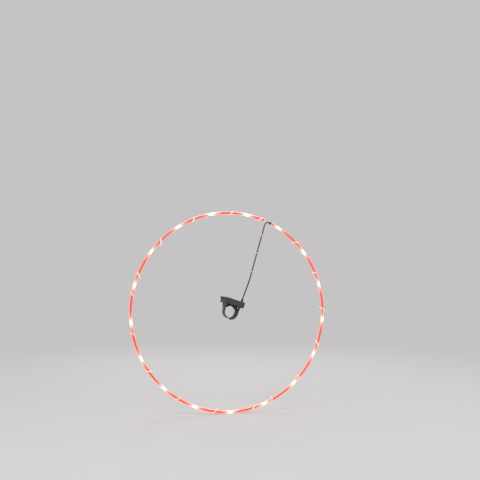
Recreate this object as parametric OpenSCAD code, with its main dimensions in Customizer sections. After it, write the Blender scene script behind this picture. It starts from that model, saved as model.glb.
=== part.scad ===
// Spoke wheel light: a string of lamps in a clear tube, lashed in a ring to the spokes of a bicycle wheel,
// and fed by a battery pack that is strapped to the hub.
// The origin is the centre of the wheel, Y lies along the axle, Z is up, and the ring lies in the XZ plane.
// The pack has a frame of its own: its z runs outward from the hub, and its x lies along the rim.

/* [Light string] */
// Radius of the ring, to the middle of the tube
ring_r = 265; // [240:1:300]
// Outer diameter of the clear tube
tube_od = 7; // [6.8:0.1:8]
// Wall of the clear tube
tube_wall = 1; // [0.8:0.05:1.1]
// Lamps on the string
lamp_count = 17; // [12:1:24]
// From the plugged end of the tube to the first lamp, along the ring
first_lamp = 51.5; // [20:0.5:60]
// From the last lamp to the end of the tube where the lead comes in
last_lamp = 24.5; // [20:0.5:60]
// Diameter of a lamp's bead of resin
bead_d = 4.4; // [3.6:0.1:4.5]
// Length of a bead
bead_l = 8; // [6:0.5:10]
// Side of the light chip in a bead, across the wires
chip_w = 1; // [0.8:0.1:1.2]
// Length of the light chip, along the wires
chip_l = 1.6; // [1:0.1:2]
// Diameter of each of the two wires
wire_d = 0.8; // [0.5:0.05:0.9]
// Length of the plugs' spigots in the tube
spigot_l = 6; // [4:0.5:8]
// Thickness of the plug's cap
cap_t = 2; // [1.5:0.1:3]

/* [Ties] */
// Diameter of a spoke
spoke_d = 2; // [1.8:0.1:2.3]
// Width of a tie's band
tie_w = 2.4; // [2:0.1:2.8]
// Thickness of a tie's band
tie_t = 1; // [0.8:0.1:1.2]
// Angle between a tie and the tube's cross-section
tie_slant = 45; // [40:1:50]
// Length of a tie's head
head_l = 4.4; // [4:0.1:5]
// Height of a tie's head
head_h = 3.4; // [3:0.1:4]
// Shortest trimmed tail
tail_min = 5; // [3:0.5:8]
// Spread of the tails' lengths
tail_spread = 7; // [0:0.5:9]

/* [Lead] */
// Diameter of the lead
lead_d = 3.5; // [3:0.1:4]
// Radius of the lead's bend into the ring
lead_bend = 10; // [8:0.5:14]
// Length of the gland's collar on the tube's end
gland_l = 5; // [4:0.5:6]
// Ties that hold the lead to its spoke
lead_tie_count = 3; // [2:1:5]

/* [Battery pack] */
// Direction from the hub to the pack, in degrees from X
pack_angle = 72; // [60:1:120]
// Diameter of a cell
cell_d = 10.5; // [10:0.1:11]
// Length of a cell with its button
cell_l = 44.5; // [42:0.5:48]
// Wall of the case
wall = 1.8; // [1.6:0.1:2.4]
// Wall between the cells and the electronics
partition_t = 2.4; // [2.2:0.1:3]
// Width of the electronics bay
bay_w = 16; // [16:0.5:20]
// Radius of the case's upright corners
corner_r = 4; // [3:0.25:5]
// Bevel round the bottom of the case
case_bevel = 1.2; // [0.4:0.1:1.6]
// Bevel round the top of the door and the deck
lid_bevel = 0.7; // [0.2:0.1:1]
// Thickness of the door and of the deck
lid_t = 2; // [2:0.1:2.6]
// Radius of the hinge pin
pin_r = 1; // [0.8:0.05:1.2]
// Radius of the hinge's knuckles
knuckle_r = 2; // [1.9:0.05:2.2]
// Length of the door's knuckle
knuckle_l = 18; // [14:1:24]
// Length of each knuckle on the case
case_knuckle_l = 8; // [6:0.5:10]
// Width and height of the door's seal
seal_w = 0.8; // [0.6:0.05:0.85]
// Radius of the door screw's shank
screw_r = 1.5; // [1.3:0.05:1.6]
// Reach of the door screw below the door
screw_reach = 4; // [3:0.25:4.5]

/* [Electronics] */
// Thickness of the circuit board
board_t = 1.2; // [1:0.1:1.6]
// Length of the circuit board
board_l = 39; // [36:0.5:40]
// Height of the board above the case's floor
board_rise = 2.5; // [2:0.1:2.6]
// Radius of the power button
button_r = 3.8; // [3.4:0.1:3.9]
// Travel of the power button
button_travel = 0.7; // [0.4:0.05:0.8]
// How far the button stands out of the deck
button_proud = 1.2; // [1:0.1:1.6]
// Side of the switch under the button
switch_w = 6; // [5:0.1:6.5]

/* [Hub strap] */
// Radius of the hub's barrel
hub_r = 16; // [15:0.25:18]
// Thickness of the rubber saddle over the barrel
pad_t = 2.5; // [2:0.1:4]
// Half of the saddle's width
pad_half = 13; // [11:0.25:13]
// Width of the strap
strap_w = 25; // [20:0.5:30]
// Thickness of the strap
strap_t = 1.5; // [1.2:0.1:1.8]
// Thickness of the hook-and-loop patch
patch_t = 1.8; // [1.6:0.05:2]
// Turn of the strap's free end round the hub, in degrees
patch_turn = 70; // [40:1:90]

/* [Hidden] */
$fn = 48;

// Clearances: a tight fit, a pin that turns, a part that slides, a loose pocket, and faces side by side
skin = 0.02;
turn_gap = 0.05;
slide_gap = 0.12;
loose_gap = 0.15;
face_gap = 0.3;
// Overshoot of a cut past the face that it opens
over = 1;

// Light string
tube_r = tube_od / 2;
bore_r = tube_r - tube_wall;
wire_r = wire_d / 2;
// Resin between the chip and each wire
chip_gap = 0.2;
wire_y = chip_w / 2 + chip_gap + wire_r;
// A bead's girth, its shoulders and its cut tips: places along it and radii, as shares of its half sizes
bead_outline = [[-0.82, 0.4], [-0.48, 0.82], [-0.15, 1], [0.15, 1], [0.48, 0.82], [0.82, 0.4]];
spigot_r = bore_r - loose_gap;
cap_round = 0.6;
spoke_r = spoke_d / 2;
lead_r = lead_d / 2;

// Cells and case, from the hub outward and from the hinge across
cell_r = cell_d / 2;
cell_pitch = cell_d + 0.5;
cell_count = 3;
cell_button_r = 1.9;
cell_button_l = 1;
plate_t = 0.4;
plate_room = plate_t + 0.2;
strip_h = 1.8;
spring_l = 5.7;
spring_wire = 0.35;
spring_turns = 4;
case_w = 2 * wall + cell_count * cell_pitch + partition_t + bay_w;
case_x = -case_w / 2;
case_x1 = case_w / 2;
cells_x = case_x + wall;
partition_x = cells_x + cell_count * cell_pitch;
bay_x = partition_x + partition_t;
room_l = cell_l + spring_l + 2 * plate_t;
case_l = room_l + 2 * wall;
case_z = hub_r + pad_t;
floor_z = case_z + wall;
cradle_r = cell_r + slide_gap;
cell_z = floor_z + cradle_r;
rim_z = cell_z + cell_r + 0.8;
lid_z = rim_z + 0.1;
top_z = lid_z + lid_t;
split_x = partition_x + partition_t / 2;
// A boss or a rib is sunk this far into the wall that carries it
root_l = wall / 2;
rib_count = 10;
rib_pitch = (case_w - 2 * corner_r) / (rib_count + 0.5);
rib_h = 0.4;

// Hinge, beside the case at the height of its rim
hinge_x = case_x - knuckle_r - face_gap;
hinge_z = rim_z;
door_rib_pitch = 5;
door_x = hinge_x + knuckle_r + 2 * face_gap;

// Door screw, in a boss on the partition
insert_r = 2.8;
insert_l = 6;
boss_r = insert_r + 1.2;
screw_x = partition_x + boss_r + 0.6;
tab_r = boss_r;
screw_head_r = 3.4;
screw_head_t = 1.6;
washer_t = 0.5;
// Play of the shank in its insert, which lets it swing out with the door
shank_play = 0.4;
coin_r = 5.2;
coin_depth = 1;
coin_w = 1.2;

// Electronics, on the middle line of what the boss leaves of the bay
board_x0 = screw_x + boss_r + 0.4;
board_x1 = case_x1 - wall - 0.4;
mid_x = (board_x0 + board_x1) / 2;
board_z = floor_z + board_rise;
board_top = board_z + board_t;
board_screw_r = 0.8;
board_screw_y = board_l / 2 - 2.6;
cover_screw_r = 1;
cover_screw_l = 6;
cover_boss_r = 2.3;
cover_screw_x = case_x1 - wall - 2.5;
cover_screw_y = room_l / 2 - 2.5;
cross_slot = [2.2, 0.5, 1.2];
switch_h = 3.5;
plunger_r = 1.75;
plunger_up = 1.1;
plunger_down = 1;
plunger_top = board_top + switch_h + plunger_up;
button_y = 9;
stem_gap = 0.2;
flange_t = 1.2;
flange_r = button_r + 0.7;
button_top = top_z + button_proud;
dish_r = 11.6;
dish_depth = 0.4;
lead_y = -11;
grommet_r = lead_r + 1.5;
grommet_flange_r = grommet_r + 1;
grommet_flange = 1.4;
boot_l = 8;
boot_top = top_z + grommet_flange + boot_l;

// Strap, in the pack's frame: the leg beside the hub, the bar that it passes over and the leg that comes back
bar_play = 0.1;
bar_w = patch_t - 2 * bar_play;
bar_h = 3;
bar_z = case_z - 8.3;
bar_x = hub_r + strap_t + bar_play;
back_x = hub_r + strap_t + patch_t;
fold_z = bar_z + bar_h + bar_play;
lug_t = 2.5;
lug_y = strap_w / 2 + face_gap;

// Lead: out of the deck, over to a spoke, along it, and round a bend into the end of the tube
run_in = 1.2 * lead_bend + gland_l;
corner_rad = norm([ring_r, run_in]);
corner_off = asin(mid_x / corner_rad);
lead_in = corner_off + atan(run_in / ring_r);
lead_start = [mid_x, lead_y, board_top + 5];
lead_out = [mid_x, lead_y, boot_top + 5];
spoke_join = [mid_x, -21, 92];
lead_corner = [mid_x, 0, corner_rad * cos(corner_off)];
lead_mouth = ring_r * [sin(lead_in), 0, cos(lead_in)];
lead_tip = lead_mouth + (spigot_l - 1) * [cos(lead_in), 0, -sin(lead_in)];
lead_bends = [30, 40, lead_bend];
spoke_line = (lead_corner - spoke_join) / norm(lead_corner - spoke_join);

// Degrees of the ring that a length along it takes
function along(l) = l / ring_r * 180 / PI;

// The tube, from its plugged end round to the end where the lead comes in
tube_start = pack_angle - lead_in;
tube_end = pack_angle - corner_off + along(lead_r + cap_t + 1.2);
tube_sweep = tube_start + 360 - tube_end;

// Lamps, spread evenly between the first and the last
lamp_pitch = (tube_sweep - along(first_lamp + last_lamp)) / (lamp_count - 1);
lamp_at = [for (i = [0 : lamp_count - 1]) tube_end + along(first_lamp) + i * lamp_pitch];

// Where each tie is lashed, in degrees round from the plugged end, and the face of the tube with its spoke
front = -1;
rear = 1;
tie_at = [[2.5, rear], [20.5, rear], [43.5, rear], [66.5, rear], [89.5, rear], [101.5, front], [123.5, front],
          [146.5, front], [169.5, front], [192.5, front], [215.5, rear], [227.5, front], [248.5, front],
          [271.5, rear], [292.5, front], [314.5, front], [336.5, front]];

// Shapes and paths

function unit(v) = v / norm(v);

// Points along an arc round c
function arc(c, r, a0, a1, n = 6) =
    [for (i = [0 : n]) let (a = a0 + (a1 - a0) * i / n) c + r * [cos(a), sin(a)]];

// A rectangle from p to q with round corners
function round_rect(p, q, r) =
    concat(arc(p + [r, r], r, 180, 270), arc([q.x - r, p.y + r], r, 270, 360),
           arc(q - [r, r], r, 0, 90), arc([p.x + r, q.y - r], r, 90, 180));

// A rectangle from a0 to a1 and z0 to z1, with its lower and upper corners cut off
function bevel_rect(a0, a1, z0, z1, low, high) =
    [[a0 + low, z0], [a1 - low, z0], [a1, z0 + low], [a1, z1 - high],
     [a1 - high, z1], [a0 + high, z1], [a0, z1 - high], [a0, z0 + low]];

// A band pulled tight round two ends of radius r1 at x = -a and a, and two of radius r2 at -b and b, h away
function belt(a, r1, b, r2, h) =
    let (lean = atan2(h, b - a) - acos((r1 - r2) / norm([b - a, h])))
    concat(arc([a, 0], r1, -90, lean), arc([b, h], r2, lean, 90),
           arc([-b, h], r2, 90, 180 - lean), arc([-a, 0], r1, 180 - lean, 270));

// The corner b of a path from a to c, rounded to radius r
function fillet(a, b, c, r, n) =
    let (u = unit(a - b), w = unit(c - b), half = acos(u * w) / 2, turn = 180 - 2 * half)
    let (mid = b + unit(u + w) * r / sin(half), reach = r / tan(half))
    let (s = b + u * reach - mid, e = b + w * reach - mid)
    [for (i = [0 : n]) mid + (s * sin(turn * (1 - i / n)) + e * sin(turn * i / n)) / sin(turn)];

// A path with each corner rounded to its own radius
function rounded(p, r, n) =
    concat([p[0]],
           [for (i = [1 : len(p) - 2]) each fillet(p[i - 1], p[i], p[i + 1], r[i - 1], n)],
           [p[len(p) - 1]]);

// A coil along Y
function coil(r, l, turns, per_turn) =
    [for (i = [0 : turns * per_turn]) let (a = 360 * i / per_turn)
     [r * cos(a), l * i / (turns * per_turn), r * sin(a)]];

// The least distance between the middles of a coil's passes
function coil_gap(p, per_turn) =
    min([for (i = [0 : len(p) - 1]) for (j = [i + per_turn / 2 : len(p) - 1]) norm(p[i] - p[j])]);

curl_rings = 8;
spring_path = coil(cell_r - 2.2, spring_l - 2 * spring_wire - 2 * skin, spring_turns, curl_rings);
echo("contact spring, least gap between turns", coil_gap(spring_path, curl_rings) - 2 * spring_wire);

// A round rod along a path, whose sides are set out from the direction ref
module rod(path, r, sides, ref) {
    last = len(path) - 1;
    way = [for (i = [0 : last]) unit(path[min(i + 1, last)] - path[max(i - 1, 0)])];
    points = [for (i = [0 : last])
              let (s = unit(cross(way[i], ref)), u = cross(way[i], s))
              for (k = [0 : sides - 1]) path[i] + r * (cos(360 * k / sides) * s + sin(360 * k / sides) * u)];
    walls = [for (i = [0 : last - 1]) for (k = [0 : sides - 1])
             let (a = i * sides + k, b = i * sides + (k + 1) % sides)
             each [[a, a + sides, b + sides], [a, b + sides, b]]];
    start = [for (k = [1 : sides - 2]) [0, k, k + 1]];
    end = last * sides;
    finish = [for (k = [1 : sides - 2]) [end, end + k + 1, end + k]];
    polyhedron(points, concat(walls, start, finish));
}

module box(p, q) translate(p) cube(q - p);

// A block from p to q with round upright corners and bevels round its bottom and top
module bevelled(p, q, corner, low, high) intersection() {
    translate([0, 0, p.z]) linear_extrude(q.z - p.z) polygon(round_rect([p.x, p.y], [q.x, q.y], corner));
    translate([0, q.y + over, 0]) rotate([90, 0, 0]) linear_extrude(q.y - p.y + 2 * over)
        polygon(bevel_rect(p.x, q.x, p.z, q.z, low, high));
    translate([p.x - over, 0, 0]) rotate([90, 0, 90]) linear_extrude(q.x - p.x + 2 * over)
        polygon(bevel_rect(p.y, q.y, p.z, q.z, low, high));
}

// The pack's frame
module in_pack() rotate([0, 90 - pack_angle, 0]) children();

// A place on the ring, with x outward and z along the tube
module on_ring(a) rotate([0, -a, 0]) translate([ring_r, 0, 0]) children();

// A round section swept along the ring
module ring_sweep(from, sweep) rotate([90, 0, 0]) rotate([0, 0, from])
    rotate_extrude(angle = sweep, $fn = 180) translate([ring_r, 0]) children();

// A cable tie: its band in the xy plane, with the head on the flat side below it and the tail along -x
module cable_tie(a, r1, b, r2, h, tail) {
    slack = loose_gap;
    flat_y = -r1 - slack;
    cheek = tie_w / 2 + 0.7 * tie_t;
    tail_y = flat_y - head_h + 0.6 * tie_t;
    translate([0, 0, -tie_w / 2]) linear_extrude(tie_w) difference() {
        polygon(belt(a, r1 + slack + tie_t, b, r2 + slack + tie_t, h));
        polygon(belt(a, r1 + slack, b, r2 + slack, h));
    }
    box([-head_l / 2, flat_y - head_h, -cheek], [head_l / 2, flat_y, cheek]);
    box([-head_l / 2 - tail, tail_y, -tie_w / 2], [0, tail_y + tie_t, tie_w / 2]);
}

// Light string

module light_tube() color([1, 0.45, 0.4, 0.5]) ring_sweep(tube_end, tube_sweep) difference() {
    circle(tube_r);
    circle(bore_r);
}

// A bead is an almond of resin round the chip and the wires
module bead() {
    side = [for (p = bead_outline) [p[1] * bead_d / 2, p[0] * bead_l / 2]];
    rotate_extrude() polygon(concat([[0, side[0].y]], side, [[0, -side[0].y]]));
}

module led_lamps() color([1, 0.85, 0.8]) for (a = lamp_at) on_ring(a) difference() {
    bead();
    for (s = [-1, 1]) translate([0, s * wire_y, 0])
        cylinder(h = bead_l + over, r = wire_r + turn_gap, center = true);
    cube([chip_w, chip_w, chip_l], center = true);
}

module led_chips() color("gold") for (a = lamp_at) on_ring(a) cube([chip_w, chip_w, chip_l], center = true);

// The wires run from the plug's spigot to the tip of the lead
module string_wires() color("indianred") for (s = [-1, 1])
    ring_sweep(tube_end + along(spigot_l), tube_sweep - along(2 * spigot_l - 1))
    translate([0, s * wire_y]) circle(wire_r, $fn = 24);

module tube_plug() color("whitesmoke") on_ring(tube_end) rotate_extrude() union() {
    square([spigot_r, spigot_l]);
    translate([0, cap_round - cap_t]) square([tube_r, cap_t - cap_round]);
    translate([0, -cap_t]) square([tube_r - cap_round, cap_t]);
    translate([tube_r - cap_round, cap_round - cap_t]) circle(cap_round);
}

module tube_gland() color("dimgray") on_ring(tube_start) difference() {
    union() {
        translate([0, 0, -spigot_l]) cylinder(h = spigot_l, r = spigot_r);
        cylinder(h = gland_l / 2, r = tube_r);
        translate([0, 0, gland_l / 2]) cylinder(h = gland_l / 2, r1 = tube_r, r2 = lead_r + 0.7);
    }
    translate([0, 0, -spigot_l - over]) cylinder(h = spigot_l + gland_l + 2 * over, r = lead_r + skin);
}

// A tie crosses the tube and the spoke at a slant, so its loop is longer than either is thick
module spoke_ties() {
    tube_half = tube_r * (1 / cos(tie_slant) - 1) + tie_w / 2 * tan(tie_slant);
    spoke_half = spoke_r * (1 / sin(tie_slant) - 1) + tie_w / 2 / tan(tie_slant);
    color([0.95, 0.9, 0.88]) for (i = [0 : len(tie_at) - 1])
        on_ring(tube_end + tie_at[i][0]) rotate([0, tie_slant, 0])
        mirror([0, tie_at[i][1] == front ? 1 : 0, 0])
        cable_tie(tube_half, tube_r, spoke_half, spoke_r, tube_r + spoke_r,
                  tail_min + tail_spread * ((i * 3) % 5) / 4);
}

// Lead

module lead_cable() color("darkred") in_pack()
    rod(rounded([lead_start, lead_out, spoke_join, lead_corner, lead_tip], lead_bends, 7),
        lead_r, 10, [0, 1, 0]);

module lead_ties() color([0.95, 0.9, 0.88]) in_pack() for (i = [1 : lead_tie_count])
    translate(spoke_join + (lead_corner - spoke_join) * (i - 0.5) / (lead_tie_count + 0.3))
    rotate([-asin(spoke_line.y), 0, 0]) rotate([0, 0, 90])
    cable_tie(0, lead_r, 0, spoke_r, lead_r + spoke_r, tail_min);

module lead_grommet() color("black") in_pack() translate([mid_x, lead_y, 0]) difference() {
    union() {
        translate([0, 0, lid_z - grommet_flange]) cylinder(h = grommet_flange, r = grommet_flange_r);
        translate([0, 0, lid_z]) cylinder(h = lid_t, r = grommet_r - skin);
        translate([0, 0, top_z]) cylinder(h = grommet_flange, r = grommet_flange_r);
        translate([0, 0, top_z + grommet_flange]) cylinder(h = boot_l, r1 = grommet_r, r2 = lead_r + 0.6);
    }
    translate([0, 0, lead_start.z]) cylinder(h = boot_top - lead_start.z + over, r = lead_r + skin);
}

module lead_wires() for (s = [-1, 1]) color(s < 0 ? "red" : "black") in_pack()
    translate([mid_x + s * wire_y, lead_y, board_top]) cylinder(h = lead_start.z - board_top, r = wire_r);

// Case

module along_hinge(l, r) translate([hinge_x, 0, hinge_z]) rotate([90, 0, 0])
    cylinder(h = l, r = r, center = true);

module case_hinge() for (s = [0, 1]) mirror([0, s, 0]) translate([0, knuckle_l / 2 + face_gap, 0]) {
    translate([hinge_x, 0, hinge_z]) rotate([-90, 0, 0]) cylinder(h = case_knuckle_l, r = knuckle_r);
    box([hinge_x - knuckle_r, 0, hinge_z - 2 * knuckle_r],
        [case_x + root_l, case_knuckle_l, hinge_z - face_gap]);
}

// The bars that the strap passes over, each between two lugs under the case
module strap_bars() for (s = [0, 1]) mirror([s, 0, 0]) {
    box([bar_x, -lug_y - lug_t / 2, bar_z], [bar_x + bar_w, lug_y + lug_t / 2, bar_z + bar_h]);
    for (t = [0, 1]) mirror([0, t, 0])
        box([hub_r - 0.4, lug_y, bar_z - 0.6], [back_x + strap_t, lug_y + lug_t, case_z + root_l]);
}

// Ribs for the fingers on the two ends of the case
module case_ribs() for (s = [0, 1]) mirror([0, s, 0]) for (i = [0 : rib_count - 1])
    box([case_x + corner_r + (i + 0.5) * rib_pitch, case_l / 2 - root_l, case_z + 2 * case_bevel],
        [case_x + corner_r + (i + 1) * rib_pitch, case_l / 2 + rib_h, rim_z - 2 * case_bevel]);

// The open box, with cradles for the cells, room for the contacts at their ends, and the electronics bay
module case_tray() difference() {
    bevelled([case_x, -case_l / 2, case_z], [case_x1, case_l / 2, rim_z], corner_r, case_bevel, 0);
    for (i = [0 : cell_count - 1]) translate([cells_x + (i + 0.5) * cell_pitch, 0, cell_z])
        rotate([90, 0, 0]) cylinder(h = room_l, r = cradle_r, center = true);
    box([cells_x, -room_l / 2, cell_z], [partition_x, room_l / 2, rim_z + over]);
    for (s = [0, 1]) mirror([0, s, 0])
        box([cells_x, room_l / 2 - plate_room, floor_z], [partition_x, room_l / 2, rim_z]);
    box([bay_x, -room_l / 2, floor_z], [bay_x + bay_w, room_l / 2, rim_z + over]);
}

module floor_boss(x, y, h, r) translate([x, y, floor_z - root_l]) cylinder(h = h + root_l, r = r);

module case_body() color([0.12, 0.12, 0.13]) in_pack() difference() {
    union() {
        case_tray();
        floor_boss(screw_x, 0, rim_z - floor_z, boss_r);
        for (s = [-1, 1]) {
            floor_boss(cover_screw_x, s * cover_screw_y, rim_z - floor_z, cover_boss_r);
            floor_boss(mid_x, s * board_screw_y, board_rise, 2);
        }
        case_hinge();
        case_ribs();
        strap_bars();
    }
    // Slots for the terminal strips
    for (s = [0, 1]) mirror([0, s, 0])
        box([partition_x - over, room_l / 2 - plate_room, floor_z],
            [bay_x + over, room_l / 2, floor_z + strip_h + 0.4]);
    // Holes for the insert, the shank below it, the small screws and the pin
    translate([screw_x, 0, rim_z - insert_l]) cylinder(h = insert_l + over, r = insert_r + skin);
    translate([screw_x, 0, rim_z - insert_l - 2]) cylinder(h = insert_l, r = screw_r + shank_play);
    for (s = [-1, 1]) {
        translate([cover_screw_x, s * cover_screw_y, rim_z - cover_screw_l - 1])
            cylinder(h = cover_screw_l + 1 + over, r = cover_screw_r + skin);
        translate([mid_x, s * board_screw_y, floor_z])
            cylinder(h = board_rise + over, r = board_screw_r + skin);
    }
    along_hinge(2 * case_l, pin_r + skin);
}

// The whole lid over the case, from which the door and the deck are cut
module lid(z0) bevelled([door_x, -case_l / 2, z0], [case_x1, case_l / 2, top_z], corner_r, 0, lid_bevel);

// The tab on the door that holds its screw
module tab(grow) {
    translate([screw_x, 0]) circle(tab_r + grow);
    translate([split_x - face_gap, -tab_r - grow]) square([screw_x - split_x + face_gap, 2 * (tab_r + grow)]);
}

module deck_cover() color([0.15, 0.15, 0.16]) in_pack() difference() {
    lid(rim_z);
    box([door_x - over, -case_l, rim_z - over], [split_x + face_gap / 2, case_l, top_z + over]);
    translate([0, 0, rim_z - over]) linear_extrude(top_z - rim_z + 2 * over) tab(face_gap);
    translate([mid_x, button_y, rim_z - over]) cylinder(h = lid_t + 3 * over, r = button_r + slide_gap);
    translate([mid_x, lead_y, rim_z - over]) cylinder(h = lid_t + 3 * over, r = grommet_r);
    translate([mid_x, lead_y, rim_z - over]) cylinder(h = lid_z - rim_z + over, r = grommet_flange_r + skin);
    for (s = [-1, 1]) translate([cover_screw_x, s * cover_screw_y, 0]) {
        translate([0, 0, rim_z - over]) cylinder(h = lid_t + 3 * over, r = cover_screw_r + skin);
        translate([0, 0, top_z - cover_screw_r])
            cylinder(h = cover_screw_r + skin, r1 = cover_screw_r + skin, r2 = 2 * cover_screw_r + 2 * skin);
    }
}

module driver_slot(z) for (turn = [0, 90]) rotate([0, 0, turn])
    translate([0, 0, z]) cube(cross_slot, center = true);

module cover_screws() color("silver") in_pack() for (s = [-1, 1])
    translate([cover_screw_x, s * cover_screw_y, 0]) difference() {
        union() {
            translate([0, 0, rim_z - cover_screw_l])
                cylinder(h = top_z - rim_z + cover_screw_l - cover_screw_r / 2, r = cover_screw_r);
            translate([0, 0, top_z - cover_screw_r])
                cylinder(h = cover_screw_r, r1 = cover_screw_r, r2 = 2 * cover_screw_r);
        }
        driver_slot(top_z);
    }

// Door

module seal_outline(inset) {
    x0 = door_x + 0.4 + inset;
    x1 = split_x - face_gap / 2 - 0.2 - inset;
    half = case_l / 2 - 0.7 - inset;
    polygon(round_rect([x0, -half], [x1, half], corner_r - 1 - inset));
}

module battery_door() color([0.14, 0.14, 0.15]) in_pack() difference() {
    union() {
        intersection() {
            lid(lid_z);
            box([door_x - over, -case_l, lid_z - over], [split_x - face_gap / 2, case_l, top_z + over]);
        }
        translate([0, 0, lid_z]) linear_extrude(lid_t) tab(0);
        // Ribs across the door for the fingers
        for (i = [-2 : 2])
            box([door_x + 5, door_rib_pitch * (i - 0.12), top_z - root_l],
                [split_x - 6, door_rib_pitch * (i + 0.12), top_z + rib_h]);
        along_hinge(knuckle_l, knuckle_r);
        box([hinge_x, -knuckle_l / 2, lid_z], [door_x + over, knuckle_l / 2, hinge_z + knuckle_r]);
    }
    translate([0, 0, lid_z - over]) linear_extrude(seal_w + over) difference() {
        seal_outline(0);
        seal_outline(seal_w);
    }
    translate([screw_x, 0, lid_z - over]) cylinder(h = lid_t + 2 * over, r = screw_r + turn_gap);
    along_hinge(2 * case_l, pin_r + turn_gap);
}

module door_seal() color("darkslategray") in_pack()
    translate([0, 0, lid_z - turn_gap]) linear_extrude(seal_w) difference() {
        seal_outline(skin);
        seal_outline(seal_w - skin);
    }

module hinge_pin() color("silver") in_pack()
    along_hinge(knuckle_l + 2 * case_knuckle_l + 2 * face_gap, pin_r);

module door_screw() color("silver") in_pack() translate([screw_x, 0, 0]) difference() {
    head_z = top_z + washer_t + turn_gap;
    union() {
        translate([0, 0, rim_z - screw_reach]) cylinder(h = head_z + 1 - rim_z + screw_reach, r = screw_r);
        translate([0, 0, head_z]) cylinder(h = screw_head_t, r = screw_head_r);
    }
    // Slot for a coin, with a round floor
    translate([0, 0, head_z + screw_head_t + coin_r - coin_depth]) rotate([90, 0, 0])
        cylinder(h = coin_w, r = coin_r, center = true);
}

module screw_washer() color("firebrick") in_pack() translate([screw_x, 0, top_z]) difference() {
    cylinder(h = washer_t, r = screw_head_r - 0.2);
    translate([0, 0, -over]) cylinder(h = washer_t + 2 * over, r = screw_r + turn_gap);
}

module screw_insert() color("goldenrod") in_pack() translate([screw_x, 0, rim_z - insert_l]) difference() {
    cylinder(h = insert_l, r = insert_r);
    translate([0, 0, -over]) cylinder(h = insert_l + 2 * over, r = screw_r + shank_play);
    for (z = [insert_l / 3, 2 * insert_l / 3]) translate([0, 0, z])
        rotate_extrude() translate([insert_r, 0]) circle(0.35);
}

// Cells and contacts: the cells lie in turn with their buttons to +y, -y and +y

module each_cell() for (i = [0 : cell_count - 1])
    translate([cells_x + (i + 0.5) * cell_pitch, 0, cell_z]) mirror([0, i % 2, 0]) children();

module battery_cells() color([0.35, 0.4, 0.45]) in_pack() each_cell()
    translate([0, room_l / 2 - plate_t, 0]) rotate([90, 0, 0]) {
        translate([0, 0, cell_button_l]) cylinder(h = cell_l - cell_button_l, r = cell_r);
        cylinder(h = 2 * cell_button_l, r = cell_button_r);
    }

module contact_springs() color("lightgray") in_pack() each_cell()
    translate([0, spring_wire + skin + plate_t - room_l / 2, 0]) rod(spring_path, spring_wire, 6, [0, 1, 0]);

// At each end one plate joins two cells, and another serves one cell and reaches through the partition
module contact_plates() color("silver") in_pack() for (s = [0, 1]) mirror([0, s, 0]) {
    y0 = room_l / 2 - plate_t;
    y1 = room_l / 2;
    half = cell_pitch / 2 - 0.6;
    joined_x = cells_x + cell_pitch * (s + 0.5);
    alone_x = cells_x + cell_pitch * (2.5 - 2 * s);
    low_z = floor_z + 0.2;
    high_z = rim_z - 1.4;
    box([joined_x - half, y0, low_z + strip_h + 0.6], [joined_x + cell_pitch + half, y1, high_z]);
    box([alone_x - half, y0, low_z], [alone_x + half, y1, high_z]);
    box([alone_x, y0, low_z], [bay_x + 2, y1, low_z + strip_h]);
}

// Wires from the terminal strips to the board
module battery_wires() in_pack() for (s = [-1, 1]) color(s < 0 ? "black" : "red") {
    strip_y = s * (room_l / 2 - plate_t - wire_r - skin);
    strip_z = floor_z + 0.2 + strip_h / 2;
    board_y = s * (board_l / 2 - 1);
    wire_z = board_top + wire_r + skin;
    rod(rounded([[bay_x + 1, strip_y, strip_z], [bay_x + 3.5, strip_y, strip_z],
                 [board_x0 - 0.6, board_y, wire_z], [board_x0 + 1.8, board_y, wire_z]], [1.2, 1.2], 3),
        wire_r, 6, [0, 0.2, 1]);
}

// Electronics

module circuit_board() color("darkgreen") in_pack() difference() {
    box([board_x0, -board_l / 2, board_z], [board_x1, board_l / 2, board_top]);
    for (s = [-1, 1]) translate([mid_x, s * board_screw_y, board_z - over])
        cylinder(h = board_t + 2 * over, r = board_screw_r + skin);
}

module controller_chip() color([0.1, 0.1, 0.1]) in_pack() translate([mid_x, -1, board_top]) {
    box([-2, -2.5, 0.3], [2, 2.5, 1.5]);
    for (s = [-1, 1]) for (i = [-1.5 : 1.5])
        box([2.4 * s - 0.6, 1.27 * i - 0.2, 0], [2.4 * s + 0.6, 1.27 * i + 0.2, 0.5]);
}

module chip_parts() color("tan") in_pack()
    for (p = [[-2.6, -6.2], [2.6, -6.2], [0, -5.6], [2.6, 3.6], [-2.6, 3.6]])
    translate([mid_x + p.x, p.y, board_top]) box([-0.6, -0.4, 0], [0.6, 0.4, 0.5]);

module board_screws() color("silver") in_pack() for (s = [-1, 1])
    translate([mid_x, s * board_screw_y, 0]) difference() {
        union() {
            translate([0, 0, floor_z + 0.3]) cylinder(h = board_top - floor_z, r = board_screw_r);
            translate([0, 0, board_top]) cylinder(h = 1, r = 1.7);
        }
        driver_slot(board_top + 1);
    }

module tact_switch() color("dimgray") in_pack() translate([mid_x, button_y, board_top]) difference() {
    box([-switch_w / 2, -switch_w / 2, 0], [switch_w / 2, switch_w / 2, switch_h]);
    translate([0, 0, switch_h - plunger_down - button_travel - 0.2])
        cylinder(h = switch_h, r = plunger_r + turn_gap);
}

module switch_plunger() color("black") in_pack()
    translate([mid_x, button_y, board_top + switch_h - plunger_down])
    cylinder(h = plunger_down + plunger_up, r = plunger_r);

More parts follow.
